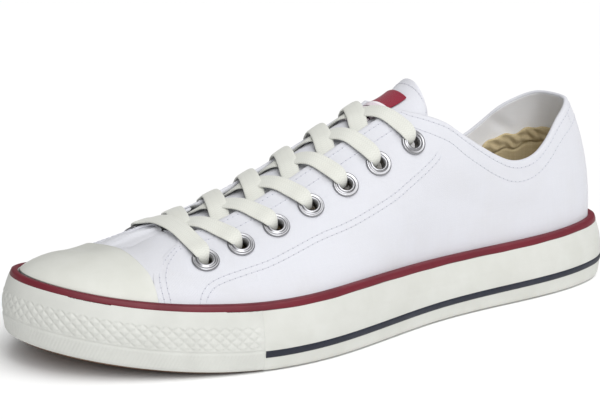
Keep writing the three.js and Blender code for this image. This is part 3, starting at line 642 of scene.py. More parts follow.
def use_group(tree, group, **values):
    node = tree.nodes.new("ShaderNodeGroup")
    node.node_tree = group
    for name, value in values.items():
        link(tree, value, node.inputs[name])
    return node.outputs


def material(name, roughness, specular=.5, sheen=0.0, metallic=0.0):
    """A new material with its tree, its shader, and the coordinates of its place and of its cloth."""
    m = bpy.data.materials.new(name)
    m.use_nodes = True
    tree = m.node_tree
    shader = tree.nodes["Principled BSDF"]
    for socket, value in (("Roughness", roughness), ("Specular IOR Level", specular),
                          ("Sheen Weight", sheen), ("Metallic", metallic)):
        shader.inputs[socket].default_value = value
    coordinates = tree.nodes.new("ShaderNodeTexCoord")
    return m, tree, shader, coordinates.outputs["Object"], coordinates.outputs["UV"]


def bump(tree, shader, height, strength, distance):
    node = tree.nodes.new("ShaderNodeBump")
    node.inputs["Strength"].default_value = strength
    node.inputs["Distance"].default_value = distance
    tree.links.new(height, node.inputs["Height"])
    tree.links.new(node.outputs[0], shader.inputs["Normal"])


def rgb(r, g, b):
    """Linear colour of a value read on screen."""
    screen = (r / 255, g / 255, b / 255)
    return tuple(c / 12.92 if c <= .04045 else ((c + .055) / 1.055) ** 2.4 for c in screen) + (1,)


def dusty(tree, wear, share, base, dust):
    """A base colour with some of the dust's colour over it."""
    return mix(tree, maths(tree, "MULTIPLY", wear["Mask"], share), base, dust)


CLOTH_ROUGHNESS = .92


def cloth_material(name, colour, shade, dust, threads=1800.0, depth=.00012, dust_share=.25):
    """Woven cloth: colour of the threads, painted shade in the hollows between them, and dust."""
    m, tree, shader, place, cloth = material(name, CLOTH_ROUGHNESS, .2, .15)
    weave = use_group(tree, WEAVE, Cloth=cloth, Threads=threads)
    wear = use_group(tree, WEAR, Place=place, Size=45.0, Low=.02, High=.09)
    # Painted shade: the colour goes over to the shade colour where the weave is low, between the threads.
    base = mix(tree, span(tree, weave["Height"], 0, 1), shade, colour)
    tree.links.new(dusty(tree, wear, dust_share, base, dust), shader.inputs["Base Color"])
    rough = span(tree, weave["Slub"], 0, 1, CLOTH_ROUGHNESS - .05, CLOTH_ROUGHNESS + .04)
    tree.links.new(rough, shader.inputs["Roughness"])
    bump(tree, shader, weave["Height"], .55, depth)
    return m


def rubber_material(name, colour, dull, dust, roughness=.5, dust_share=.3, grain=.00004):
    """Moulded rubber: colour, its duller mottling, and dust."""
    m, tree, shader, place, _ = material(name, roughness, .4)
    skin = use_group(tree, RUBBER, Place=place)
    wear = use_group(tree, WEAR, Place=place, Size=38.0, Low=.0, High=.03)
    base = mix(tree, skin["Mottle"], dull, colour)
    tree.links.new(dusty(tree, wear, dust_share, base, dust), shader.inputs["Base Color"])
    rough = span(tree, skin["Mottle"], 0, 1, roughness + .08, roughness - .04)
    tree.links.new(rough, shader.inputs["Roughness"])
    bump(tree, shader, skin["Height"], .35, grain)
    return m


# Each cloth's second colour is painted shade, laid in the hollows between its threads.
CANVAS = cloth_material("white canvas", rgb(212, 213, 218), rgb(204, 205, 212), rgb(192, 190, 187))
TONGUE_CANVAS = cloth_material("tongue canvas", rgb(217, 218, 223), rgb(207, 208, 215), rgb(193, 191, 188))
# The lining is coloured much lighter than the canvas so that the shaded inside of the shoe reads brighter:
# painted light.
LINING = cloth_material("white lining twill", rgb(249, 250, 252), rgb(240, 241, 245), rgb(226, 221, 212),
                        threads=2200.0, dust_share=.4)
TAN_LINING = cloth_material("tan cotton lining", rgb(216, 200, 162), rgb(176, 158, 120), rgb(140, 124, 96),
                            threads=1400.0, depth=.0002, dust_share=.4)
INSOLE_CLOTH = cloth_material("tan insole cloth", rgb(192, 178, 144), rgb(158, 144, 112), rgb(124, 110, 86),
                              threads=1300.0, depth=.0002, dust_share=.5)
WALL_RUBBER = rubber_material("off-white sole rubber", rgb(202, 203, 198), rgb(196, 197, 191),
                              rgb(182, 180, 173))
BUMPER_RUBBER = rubber_material("textured bumper rubber", rgb(201, 202, 197), rgb(194, 195, 190),
                                rgb(180, 180, 175), roughness=.55)
CAP_RUBBER = rubber_material("smooth toe cap rubber", rgb(205, 206, 200), rgb(199, 200, 193),
                             rgb(190, 188, 181), roughness=.42, dust_share=.15, grain=.00002)
CRIMSON_RUBBER = rubber_material("crimson stripe", rgb(106, 20, 36), rgb(95, 18, 33), rgb(120, 70, 74),
                                 dust_share=.15)
NAVY_RUBBER = rubber_material("navy stripe", rgb(24, 29, 45), rgb(20, 24, 38), rgb(66, 66, 74),
                              dust_share=.15)
GROUND_RUBBER = rubber_material("brown ground rubber", rgb(108, 78, 56), rgb(84, 58, 40), rgb(140, 128, 112),
                                roughness=.75, dust_share=.6, grain=.00012)


def lace_material():
    m, tree, shader, place, cloth = material("cotton lace", .9, .2, .25)
    braid = use_group(tree, BRAID, Cloth=cloth, Ribs=950.0)
    # Painted shade: the colour darkens in the low grooves between the braid's ribs, with random tone from its
    # fuzz.
    base = mix(tree, span(tree, braid["Height"], .2, 1.3), rgb(200, 201, 194), rgb(211, 212, 205))
    wear = use_group(tree, WEAR, Place=place, Size=90.0, Low=.04, High=.1)
    tree.links.new(dusty(tree, wear, .2, base, rgb(214, 211, 200)), shader.inputs["Base Color"])
    bump(tree, shader, braid["Height"], .3, .0001)
    return m


def nickel_material():
    m, tree, shader, place, _ = material("polished nickel", .3, .5, metallic=1.0)
    scratch = noise(tree, stretch(tree, place, (900, 900, 120)), 1.0, 3)
    tree.links.new(mix(tree, scratch, rgb(146, 146, 149), rgb(164, 164, 167)), shader.inputs["Base Color"])
    return m


def thread_material(name, colour, shade):
    m, tree, shader, place, _ = material(name, .8, .3, .2)
    twist = noise(tree, place, 3200, 2)
    tree.links.new(mix(tree, twist, shade, colour), shader.inputs["Base Color"])
    bump(tree, shader, twist, .5, .00008)
    return m


LACE_COTTON = lace_material()
NICKEL = nickel_material()
THREAD = thread_material("white thread", rgb(213, 214, 220), rgb(190, 191, 201))
# Grey of the needle-hole discs: painted shade where the needle went through the cloth.
NEEDLE_HOLE_SHADE = thread_material("needle hole painted shade", rgb(170, 172, 182), rgb(152, 154, 166))


# Upper: soft folds that the canvas shows, in millimetres
# columns: middle x, y, z, direction x, y, z, half length, half width, depth (minus is a trough)
FOLDS = [
    (246, 12, 47, .2, 1, -.3, 16, 4.5, -.7),
    (251, 24, 41, .5, 1, -.5, 12, 3.5, -.5),
    (243, -16, 47, .2, -1, -.3, 15, 4.5, -.6),
    (247, 0, 49, .1, 1, 0, 14, 3.2, .5),
    (222, 40, 38, 1, .3, .1, 18, 6, -.5),
    (196, 44, 44, 1, .2, .25, 24, 6, .5),
    (170, 40, 44, 1, .1, .2, 26, 7, -.5),
    (128, 38, 52, 1, 0, .5, 26, 8, .5),
    (96, 34, 50, 1, 0, .3, 24, 8, -.5),
    (62, 33, 50, 1, 0, .1, 26, 6, .5),
    (34, 28, 56, .6, .3, .8, 20, 6, -.5),
    (12, 12, 66, .1, .2, 1, 18, 6, -.4),
    (210, -46, 40, 1, -.2, .1, 24, 6, -.6),
    (165, -40, 42, 1, 0, .2, 28, 7, .5),
    (110, -32, 50, 1, 0, .3, 28, 8, -.5),
    (48, -30, 50, 1, 0, .1, 26, 7, .5),
]
# Wrinkles of the lining round the heel
LINING_FOLDS = [
    (30, -22, 66, 1, .3, .5, 22, 2.6, .9),
    (44, -26, 58, 1, .1, .45, 22, 2.4, -.8),
    (20, -16, 60, .8, .7, .4, 16, 2.4, .8),
    (36, -25, 50, 1, .1, .35, 20, 2.2, .7),
    (12, 4, 62, .1, 1, .3, 14, 2.4, .8),
    (12, -6, 72, .2, 1, .2, 12, 2.2, -.7),
]


def crease(start, end, wide, depth):
    """A fold row along the upper between two plan points."""
    a, b = over(*start, 0), over(*end, 0)
    way = b - a
    return (*((a + b) / 2), *way, .62 * math.sqrt(way @ way), wide, depth)


FOLDS.append(crease((251.9, -13), (235, -9.4), 1.3, -1.9))
FOLDS.append(crease((253, -17), (235, -13), 2.4, 1.7))


def folds(points, table):
    """How far the folds of a table lift each point."""
    offset = np.zeros(points.shape[:-1])
    for x, y, z, dx, dy, dz, long, wide, depth in table:
        way = np.array([dx, dy, dz], float) / math.sqrt(dx * dx + dy * dy + dz * dz)
        gap = points - (x, y, z)
        along = gap @ way
        off = np.linalg.norm(gap - along[..., None] * way, axis=-1)
        offset += depth * np.exp(-(along / long) ** 2 - (off / wide) ** 2)
    return offset


SECTION_ROWS = 44
FOOT_ROWS = 6
T_ROWS = np.concatenate([np.linspace(-1, 0, FOOT_ROWS, endpoint=False), np.linspace(0, 1, SECTION_ROWS)])


def wall_grid(u, t, extra, table):
    """The upper's wall: t runs -1 to 0 from the insole to the rim, and on to 1 at the collar or throat."""
    up = form(u, clamp(t) * top_angle(u, table), extra)
    down = foot(u, clamp(t + 1), extra)
    return np.where((t >= 0)[..., None], up, down)


def front_edge(side):
    """Outline place of the quarter's front edge at each row."""
    t = clamp(T_ROWS)
    lo, hi = place(side, VAMP_BACK), place(side, CAP_REACH)

    def below(m):
        u = lo + (hi - lo) * m
        p = form(u, t * top_angle(u), 0)
        return p[..., 0] < quarter_x(np.abs(p[..., 1] - ridge_y(p[..., 0])))

    return lo + (hi - lo) * halve(t.shape, 1, below)


def quarter_places(count):
    """Outline place of every point of the quarters: front edge, round the heel, and the other front edge."""
    sides = []
    for side, heel in ((1, U_HEEL), (-1, U_END)):
        front = front_edge(side)
        w = np.linspace(0, 1, count)[:, None] ** 1.15
        u = heel + (front[0] - heel) * (1 - w) + (front - front[0])[None] * (1 - w) ** 3
        sides.append(u)
    back = sides[1][::-1][1:] - 1
    return np.concatenate([sides[0], back])


QUARTER_U = quarter_places(150)
T_GRID = np.broadcast_to(T_ROWS, QUARTER_U.shape)
QUARTER_OUT = wall_grid(QUARTER_U, T_GRID, QUARTER_STEP, OPEN_OUT)
# Turns the normals of grids that run as this one does outwards
OUT = np.sign(grid_normals(QUARTER_OUT)[20, 20, 1])
QUARTER_NORMALS = grid_normals(QUARTER_OUT) * OUT
QUARTER_OUT = QUARTER_OUT + QUARTER_NORMALS * folds(QUARTER_OUT, FOLDS)[..., None]
# Over the vamp the quarters are thinner
QUARTER_BACK = -WALL + (WALL + .05) * smooth(207, 213, station_of(QUARTER_U))
QUARTER_IN = wall_grid(QUARTER_U, T_GRID, QUARTER_BACK, OPEN_IN)
INNER_FOLDS = folds(QUARTER_IN, FOLDS) * .6 + folds(QUARTER_IN, LINING_FOLDS)
QUARTER_IN = QUARTER_IN + QUARTER_NORMALS * INNER_FOLDS[..., None]


def eyelet_places():
    """Name, side, row, middle and outward normal of each eyelet."""
    found = []
    for side in (1, -1):
        for number, e in enumerate(EYELETS, 1):
            x, share = e[0] * LENGTH, e[1 if side > 0 else 2]
            at, ahead, behind, lower, upper = (
                side_point(x + along, side, share + down, QUARTER_STEP)
                for along, down in ((0, 0), (1, 0), (-1, 0), (0, .01), (0, -.01)))
            normal = unit(np.cross(ahead - behind, lower - upper)) * side
            found.append((f"{'outer' if side > 0 else 'inner'}_{number}", side, number, at, normal))
    return found


EYELET_PLACES = eyelet_places()


def cut_eyelets(piece):
    """Drills the eyelet holes through a piece."""
    work = bmesh.new()
    radius = EYELET_DRILL / 1000
    for _, _, _, at, normal in EYELET_PLACES:
        turn_to = Vector((0, 0, 1)).rotation_difference(Vector(normal)).to_matrix().to_4x4()
        move = Matrix.Translation((Vector(at) - Vector(HOME)) / 1000)
        bmesh.ops.create_cone(work, cap_ends=True, segments=28, radius1=radius, radius2=radius,
                              depth=3 * radius, matrix=move @ turn_to)
    data = bpy.data.meshes.new("drills")
    work.to_mesh(data)
    work.free()
    drills = in_scene("drills", data)
    cut = piece.modifiers.new("holes", "BOOLEAN")
    cut.operation, cut.object, cut.solver = "DIFFERENCE", drills, "EXACT"
    view = bpy.context.evaluated_depsgraph_get()
    made = bpy.data.meshes.new_from_object(piece.evaluated_get(view))
    piece.modifiers.clear()
    piece.data = made
    bpy.data.objects.remove(drills)
    return piece


quarters = sheet("quarters", QUARTER_OUT, QUARTER_IN, [CANVAS, LINING], replaces=["upper"])
cut_eyelets(quarters)


def vamp_piece():
    """Vamp: the canvas from under the quarters to the toe."""
    ahead = station_of(np.linspace(place(1, VAMP_TURN), U_TOE, 60))[1:]
    x = np.concatenate([np.linspace(VAMP_BACK, VAMP_TURN, 30), ahead])
    rows = np.concatenate([T_ROWS[:FOOT_ROWS], np.linspace(0, 1, 96)])
    u = np.concatenate([place(1, x), place(-1, x)[::-1][1:]])[:, None] * np.ones(len(rows))
    u[len(x) - 1] = U_TOE
    t = np.broadcast_to(rows, u.shape)
    out = wall_grid(u, t, 0, OPEN_OUT)
    inn = wall_grid(u, t, -WALL, OPEN_IN)
    normals = grid_normals(out) * OUT
    closed = top_angle(u[:, -1]) > np.pi / 2 - 1e-6
    normals[:, -1] = np.where(closed[:, None], (0, 0, 1), normals[:, -1])
    shift = folds(out, FOLDS)[..., None]
    piece = sheet("vamp", out + normals * shift, inn + normals * shift * .6, [CANVAS, LINING],
                  skip_top=closed, replaces=["upper"])
    return cut_eyelets(close_corners(piece))


vamp_piece()


def cap_end(side):
    """Place on the outline where the rear edge of the cap meets the sole wall."""
    start = place(side, VAMP_TURN)

    def behind(m):
        p = form(start + (U_TOE - start) * m, 0, 1)
        return p[..., 0] < cap_x(p[..., 1])

    return start + (U_TOE - start) * halve(1, 1, behind)[0]


def cap_piece():
    """Toe cap: for each place on the outline, from the sole wall up to the bowed rear edge."""
    start, end = cap_end(1), cap_end(-1)
    ease = (1 - np.cos(np.linspace(0, np.pi, 150))) / 2
    u = start + (end - start) * (ease * .75 + np.linspace(0, 1, 150) * .25)
    low, high = CAP_UNDER, CAP_UNDER + CAP_THICK

    def grid(extra, rear_shift):
        def ahead(angle):
            p = form(u, angle, extra)
            return p[..., 0] > cap_x(p[..., 1]) + rear_shift

        rear = halve(u.shape, np.pi / 2, ahead)
        b = edge(u, UPPER_INSET - extra)
        cx = spine_x(station_of(u))
        z0 = rim_z(b[..., 0]) - RIM_DROP
        start = np.arcsin(clamp((RIM_DROP + .05) / (ridge_z(cx) + extra - z0)) ** (top_round(cx) / 2))
        start = np.minimum(start, rear * .98)
        share = np.linspace(0, 1, 40)
        return form(u[:, None], start[:, None] + (rear - start)[:, None] * share, extra)

    return sheet("rubber_toe_cap", grid(high, .35), grid(low, 0), CAP_RUBBER, bulge=.35, replaces=["toe_cap"])


cap_piece()


# Sole
def face_inset(share):
    """How far the wall's face stands in from the outline, at shares of its height."""
    share = np.asarray(share, float)
    low = 1.2 * clamp(1 - share / .45) ** 2
    high = RIM_INSET * (clamp(share - .45) / .55) ** 1.6
    return np.where(share < .45, low, high)


def wall_point(u, share, inset):
    """A point of the sole wall: share of its height, and an inset added to the face's own."""
    u, share, inset = alike(u, share, inset)
    p = edge(u, face_inset(share) + inset)
    x = p[..., 0]
    return np.stack([x, p[..., 1], floor_z(x) + share * (rim_z(x) - floor_z(x))], -1)


def mirrored_places(x):
    """Outline places of stations from heel to toe and back, so that both sides meet along the middle."""
    out, back = place(1, x), place(-1, x)[::-1]
    return np.concatenate([[U_HEEL], out, [U_TOE], back])


def even_stations(count):
    return station_of(U_HEEL + (U_TOE - U_HEEL) * np.arange(1, count) / count)


def over_ground(plan, up):
    """Plan points at heights over the ground line."""
    return np.concatenate([plan, (floor_z(plan[..., 0]) + up)[..., None]], -1)


def over_rim(plan, up):
    """Plan points at heights over the rim line."""
    return np.concatenate([plan, (rim_z(plan[..., 0]) + up)[..., None]], -1)


def spine(u):
    """Plan points of the spine, facing places on the outline."""
    x = spine_x(station_of(u))
    return np.stack([x, ridge_y(x)], -1)


# Inset from the outline, and height: under the wall, over its rim, and down its inside to the floor
WALL_UNDER = [(13.2, 4.5), (3.2, 4.5), (3.2, .6)]
WALL_RIM = [(5.0, -.5), (5.4, -.25), (6.4, -.25), (6.5, -.6)]
WALL_INSIDE = [(6.5, FLOOR_TOP + 1), (6.6, FLOOR_TOP), (17.5, FLOOR_TOP)]
# Height shares of the rows on the wall's face
WALL_ROWS = np.concatenate([[.035, .045, .06, .08, .11, .15, .2, .24], np.linspace(.3, .9, 26)])
# The wall steps back behind the bumper, over a few close stations
WALL_STEP = 1.7
STEP_STATIONS = BUMPER_END + np.array([-.6, -.15, -.02, .1, .25])


def sole_wall():
    """Sole wall, one cup from under the wall up over the rim and down inside."""
    u = mirrored_places(np.sort(np.concatenate([even_stations(230), STEP_STATIONS])))
    station = station_of(u)
    back = WALL_STEP * smooth(BUMPER_END - .05, BUMPER_END + .24, station)
    columns = [over_ground(spine(u), WALL_UNDER[0][1])]
    columns += [over_ground(edge(u, inset), up) for inset, up in WALL_UNDER]
    columns.append(over_ground(edge(u, 2.0 + back), .55))
    for share in WALL_ROWS:
        foot_round = 1.1 * clamp(1 - share / .085) ** 2
        line = .16 * np.exp(-((share - .6) / .012) ** 2)
        columns.append(wall_point(u, share, foot_round + line + back))
    top = np.maximum(1 - 2.6 / (rim_z(station) - floor_z(station)), .902)
    columns += [wall_point(u, top, back), wall_point(u, top + .004, .9)]
    columns += [over_rim(edge(u, inset), up) for inset, up in WALL_RIM]
    columns += [over_ground(edge(u, inset), up) for inset, up in WALL_INSIDE]
    columns.append(over_ground(spine(u), FLOOR_TOP))
    grid = np.stack(columns, 1)
    uv = cloth_uv(grid).reshape(-1, 2)
    return close_corners(add_mesh("sole_wall", grid.reshape(-1, 3), ring_faces(grid), WALL_RUBBER,
                                  uv=uv, replaces=["foxing"]))


sole_wall()

DIAMOND_LONG = 4.7
DIAMOND_TALL = 4.1
DIAMOND_RISE = .47
RIB_PITCH = 1.5
RIB_RISE = .14
# Bands of the bumper in shares of its height: start, full from, full to, end
DIAMOND_BAND = (.365, .39, .685, .71)
RIB_BAND = (.06, .08, .3, .315)
GROOVE_AT = .34
GROOVE_DEEP = .3


def within(band, share):
    """1 in a band and 0 outside it, with soft ends."""
    start, full, last, end = band
    return smooth(start, full, share) * (1 - smooth(last, end, share))


def toe_bumper():
    """Bumper strip: smooth band, diamonds, a groove, and fine ribs along the foot."""
    end, other = place(1, BUMPER_END), place(-1, BUMPER_END)
    u = end + (other - end) * np.linspace(0, 1, 640)
    shares = np.linspace(.045, .93, 74)
    uu, ss = np.meshgrid(u, shares, indexing="ij")
    flat = wall_point(uu, ss, 0)
    run = run_length(flat[:, 30:31], 0)
    total = run[-1, 0]
    high = run_length(flat, 1)
    a = run / DIAMOND_LONG + high / DIAMOND_TALL
    b = run / DIAMOND_LONG - high / DIAMOND_TALL
    peak = np.maximum(np.abs(a % 1 - .5), np.abs(b % 1 - .5)) * 2
    diamonds = DIAMOND_RISE * (1 - clamp(peak * 1.03) ** 2.6)
    band = within(DIAMOND_BAND, ss)
    ribs = RIB_RISE * (.5 + .5 * np.sin(2 * np.pi * (run + high * .5) / RIB_PITCH))
    low = within(RIB_BAND, ss)
    groove = GROOVE_DEEP * np.exp(-((ss - GROOVE_AT) / .012) ** 2)
    foot_round = 1.3 * clamp(1 - ss / .1) ** 2
    fade = smooth(0, 1.2, run) * smooth(0, 1.2, total - run)
    middle = smooth(0, 3, run) * smooth(0, 3, total - run)
    rise = .1 + .25 * fade + (diamonds - .3) * band * middle + ribs * low * fade
    tall = rim_z(flat[..., 0]) - floor_z(flat[..., 0])
    top_limit = 1 - 2.3 / tall
    ss_top = np.minimum(ss, top_limit)
    out = wall_point(uu, ss_top, foot_round + groove - rise)
    inn = wall_point(uu, ss_top, foot_round * .4 + 1.35)
    return sheet("diamond_bumper", out, inn, BUMPER_RUBBER, bulge=.25, replaces=["toe_bumper"])


toe_bumper()


# Height of the red stripe on the wall's face, and how far it stands out
RED_TALL = 2.45
RED_PUFF = .28


def red_stripe():
    """Crimson stripe: up the face of the wall and over the rim to the canvas."""
    u = np.linspace(U_HEEL, U_END, 600, endpoint=False)
    station = station_of(u)
    tall = rim_z(station) - floor_z(station)
    wander = .12 * np.sin(station * .11) + .08 * np.sin(station * .31 + 1.7)
    low = 1 - (RED_TALL + wander) / tall
    rim_end = 6.55 - .5 * smooth(238, 250, station)
    rows, under = [], []
    for f in np.linspace(0, 1, 7):
        share = low + (.992 - low) * f
        puff = RED_PUFF * math.sin(math.pi * min(1, f * 1.6 + .12) * .5)
        rows.append(wall_point(u, share, -puff))
        under.append(wall_point(u, share, .75))
    for f, up in ((.1, .12), (.35, .22), (.7, .22), (1, .2)):
        inset = RIM_INSET + (rim_end - RIM_INSET) * f
        rows.append(over_rim(edge(u, inset), up))
        under.append(over_rim(edge(u, inset + .25), -.22))
    return sheet("red_stripe", np.stack(rows, 1), np.stack(under, 1), CRIMSON_RUBBER, ring=True,
                 bulge=.3, replaces=["stripe_top"])


red_stripe()


# Middle of the navy stripe as a share of the wall's height, its rise towards the heel, and half its width
NAVY_SHARE = .28
NAVY_RISE = .055
NAVY_HALF = 1.4


def navy_stripe():
    """Navy stripe: low on the wall, from one end of the bumper round the heel to the other."""
    start, end = place(1, BUMPER_END - .5), place(-1, BUMPER_END - .5) - 1
    u = start + (end - start) * np.linspace(0, 1, 520)
    station = station_of(u)
    tall = rim_z(station) - floor_z(station)
    rows, under = [], []
    for f in np.linspace(-1, 1, 7):
        share = NAVY_SHARE + NAVY_RISE * clamp(1 - station / 210) + f * NAVY_HALF / tall
        rows.append(wall_point(u, share, -.2 * (1 - f**6) - .13))
        under.append(wall_point(u, share, .4))
    return sheet("navy_stripe", np.stack(rows, 1), np.stack(under, 1), NAVY_RUBBER, bulge=.3,
                 replaces=["stripe_side"])


navy_stripe()


# Insole: inset from the outline, thickness, rise of its edge, and the rows of its edge and underside,
# as shares of the way from the spine with heights over the floor
INSOLE_INSET = 9.8
INSOLE_THICK = 3.2
INSOLE_DISH = 1.2
INSOLE_UNDER = [(1, 3.4), (1, .8), (.8, .35), (0, .35)]


def insole_piece():
    """Insole: dished on top, with a rounded edge."""
    u = mirrored_places(even_stations(120))
    middle, side = spine(u), edge(u, INSOLE_INSET)
    rows = [(f, INSOLE_THICK + INSOLE_DISH * f**4) for f in np.linspace(0, 1, 16)] + INSOLE_UNDER
    grid = np.stack([over_ground(middle + (side - middle) * f, FLOOR_TOP + up) for f, up in rows], 1)
    return close_corners(add_mesh("insole_cloth", grid.reshape(-1, 3), ring_faces(grid), INSOLE_CLOTH,
                                  uv=grid[..., :2].reshape(-1, 2), replaces=["insole"]))


insole_piece()


# Top edge of the tan lining, heel to ball: share of LENGTH, share of HEIGHT
TAN_EDGE = [(0, .66), (.06, .648), (.1, .632), (.13, .598), (.155, .555), (.2, .48), (.26, .42), (.68, .38)]


def tan_lining():
    """Cotton lining along the foot of the wall inside: a wrinkled top band over a seam."""
    start, end = place(1, 200.0), place(-1, 200.0) - 1
    u = start + (end - start) * np.linspace(0, 1, 460)
    station = station_of(u)
    extra = -WALL - 1.3
    top = top_angle(u, OPEN_IN)
    wave = 1.1 * np.sin(station * .2) + .6 * np.sin(station * .47 + 1)
    goal = HEIGHT * row(TAN_EDGE, 1, station / LENGTH) + wave
    reach = halve(u.shape, .97, lambda t: form(u, t * top, extra)[..., 2] < goal)
    f = np.concatenate([np.linspace(0, .72, 16, endpoint=False), np.linspace(.72, 1, 40)])[None]
    t = -.86 + (reach[:, None] + .86) * f
    out = wall_grid(*np.broadcast_arrays(u[:, None], t), extra, OPEN_IN)
    deep = run_length(out[:, ::-1], 1)[:, ::-1]
    run = run_length(out[:, -1:], 0)
    band = 1 - smooth(5.8, 6.8, deep)
    plait = .55 * np.abs(np.sin(np.pi * (run / 4.4 + deep * .11))) + .3 * np.sin(run * .8 + deep * 1.3)
    seam = -.75 * np.exp(-((deep - 7.2) / .5) ** 2)
    slack = .3 * np.sin(run * .35 + deep * .2)
    puff = plait * band + seam + slack * (1 - band)
    out = out - grid_normals(out) * OUT * puff[..., None]
    under = wall_grid(*np.broadcast_arrays(u[:, None], t), -WALL - .35, OPEN_IN)
    return sheet("tan_side_lining", out, under, TAN_LINING)


tan_lining()
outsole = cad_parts["outsole"]
outsole.data.materials.clear()
outsole.data.materials.append(GROUND_RUBBER)


# Tongue and label
def tongue_face(x, share, down):
    """Face of the tongue at a plan x; share runs -1 to 1 across it, and down goes into it."""
    x, share, down = alike(x, share, down)
    side = np.where(share < 0, -1.0, 1.0)
    wide = np.where(side > 0, row(TONGUE, 1, x / LENGTH), row(TONGUE, 2, x / LENGTH))
    p = side_point(x, side, np.abs(share) * wide, -WALL - TONGUE_DROP - down)
    lift = clamp((TONGUE_LIFT_START - x) / (TONGUE_LIFT_START - TONGUE_TOP)) ** 2
    p[..., 2] += TONGUE_LIFT * lift * (1 - np.abs(share) ** 2.5)
    return p


def tongue_piece():
    x = TONGUE_TOP + (TONGUE_FOOT - TONGUE_TOP) * np.linspace(0, 1, 90) ** 1.5
    share = np.sin(np.linspace(-1, 1, 45) * np.pi / 2)
    xx, ss = np.meshgrid(x, share, indexing="ij")
    out = tongue_face(xx, ss, .1)
    inn = tongue_face(xx, ss, TONGUE_THICK)
    sheet("canvas_tongue", out, inn, [TONGUE_CANVAS, LINING], bulge=.45, replaces=["tongue"])
    return out


TONGUE_OUT = tongue_piece()
TONGUE_NORMALS = grid_normals(TONGUE_OUT)
TONGUE_NORMALS *= np.sign(TONGUE_NORMALS[40, 22, 2])


# Thin bands of the label: middle and half width along it, in metres, and colour
LABEL_BANDS = [
    (.0113, .0006, rgb(236, 230, 233)), (.0150, .0005, rgb(70, 44, 62)), (.0180, .0009, rgb(150, 40, 66)),
    (.0212, .0005, rgb(70, 44, 62)),
]


def label_material():
    """Plain woven label: crimson over a pale end with thin bands."""
    m, tree, shader, _, cloth = material("woven label", .75, .3, .2)
    weave = use_group(tree, WEAVE, Cloth=cloth, Threads=2600.0)
    along = split(tree, cloth)[0]
    # Painted shade: each colour darkens where the weave is low, between the threads.
    crimson = mix(tree, weave["Height"], rgb(118, 20, 42), rgb(150, 34, 58))
    pale = mix(tree, weave["Height"], rgb(205, 190, 198), rgb(232, 222, 228))
    both = mix(tree, maths(tree, "GREATER_THAN", along, .0105), crimson, pale)
    for centre, half, colour in LABEL_BANDS:
        gap = maths(tree, "ABSOLUTE", maths(tree, "SUBTRACT", along, centre))
        near = maths(tree, "LESS_THAN", gap, half)
        both = mix(tree, near, both, colour)
    tree.links.new(both, shader.inputs["Base Color"])
    bump(tree, shader, weave["Height"], .5, .00008)
    return m


LABEL_FROM = 0.387 * LENGTH
LABEL_LONG = 25
LABEL_HALF = 8.2


def label_piece():
    """Label: a cloth patch that lies on the tongue."""
    x = LABEL_FROM + LABEL_LONG * np.linspace(0, 1, 40)
    xx, vv = np.meshgrid(x, np.linspace(-1, 1, 25), indexing="ij")
    side = np.where(vv < 0, -1, 1)
    share = vv * LABEL_HALF / np.abs(tongue_face(xx, side, 0)[..., 1] - ridge_y(xx))
    face = tongue_face(xx, share, 0)
    return sheet("woven_label", face + (0, 0, 1.15), face + (0, 0, .55), label_material(), bulge=.4,
                 replaces=["tongue_label"])


label_piece()


# Eyelets
# Section of a rolled eyelet: radius, height over the cloth
EYELET_SECTION = np.array([
    (5.62, .12), (5.7, .42), (5.55, .8), (5.2, 1.02), (4.8, .95), (4.45, .78), (4.15, .8), (3.8, 1.1),
    (3.4, 1.32), (3.0, 1.2), (2.75, .8), (2.62, .2), (2.58, -1.2), (2.58, -3.2), (2.8, -3.2), (2.85, -1.0),
    (2.95, -.2), (3.3, .06), (4.3, .06),
])


def eyelet_piece(label, at, normal):
    """Eyelet: its section turned about the normal."""
    turns = np.linspace(0, 2 * np.pi, 48, endpoint=False)
    a = unit(np.cross(normal, (1, 0, 0)))
    b = np.cross(normal, a)
    ring = np.cos(turns)[:, None] * a + np.sin(turns)[:, None] * b
    grid = at + ring[:, None] * EYELET_SECTION[None, :, :1] + normal * EYELET_SECTION[None, :, 1:]
    index = np.arange(grid.shape[0] * grid.shape[1]).reshape(grid.shape[:2])
    r, d = np.roll(index, -1, 0), np.roll(index, -1, 1)
    faces = np.stack([index, r, np.roll(r, -1, 1), d], -1).reshape(-1, 4).tolist()
    return close_corners(add_mesh(f"nickel_eyelet_{label}", grid.reshape(-1, 3), faces, NICKEL,
                                  uv=cloth_uv(grid).reshape(-1, 2), replaces=[f"eyelet_{label}"]))


for label, _, _, at, normal in EYELET_PLACES:
    eyelet_piece(label, at, normal)


# Laces
def through(points, count):
    """Even points along a smooth curve through the given rows."""
    p = np.asarray(points, float)
    step = np.diff(p, axis=0)
    d = np.concatenate([[0], np.cumsum(np.hypot(step[:, 0], step[:, 1]) + .6 * np.abs(step[:, 2]) + 1e-3)])
    s = np.linspace(0, d[-1], count)
    return np.stack([row(list(zip(d, p[:, k])), 1, s) for k in range(p.shape[1])], -1)


def face_normal(x, y):
    """Normal of the form over a plan point."""
    e = .6
    a = over(x + e, y, 0) - over(x - e, y, 0)
    b = over(x, y + e, 0) - over(x, y - e, 0)
    return unit(np.cross(a, b))


def blurred(directions):
    """Directions along a line, averaged over nine neighbours."""
    padded = np.concatenate([directions[:1].repeat(4, 0), directions, directions[-1:].repeat(4, 0)])
    return unit(np.stack([np.convolve(padded[:, k], np.ones(9) / 9, "valid") for k in range(3)], -1))


def lace(path, count=84):
    """A lace over the upper. Rows of path: plan x, plan y, height over the form, width, thickness."""
    p = through(path, count)
    base = over(p[:, 0], p[:, 1], 0)
    normal = blurred(blurred(face_normal(p[:, 0], p[:, 1])))
    centres = base + normal * p[:, 2:3]
    across = unit(np.cross(normal, blurred(unit(np.gradient(base, axis=0)))))
    up = unit(np.cross(unit(np.gradient(centres, axis=0)), across))
    return tube(centres, p[:, 3], p[:, 4], across, up)


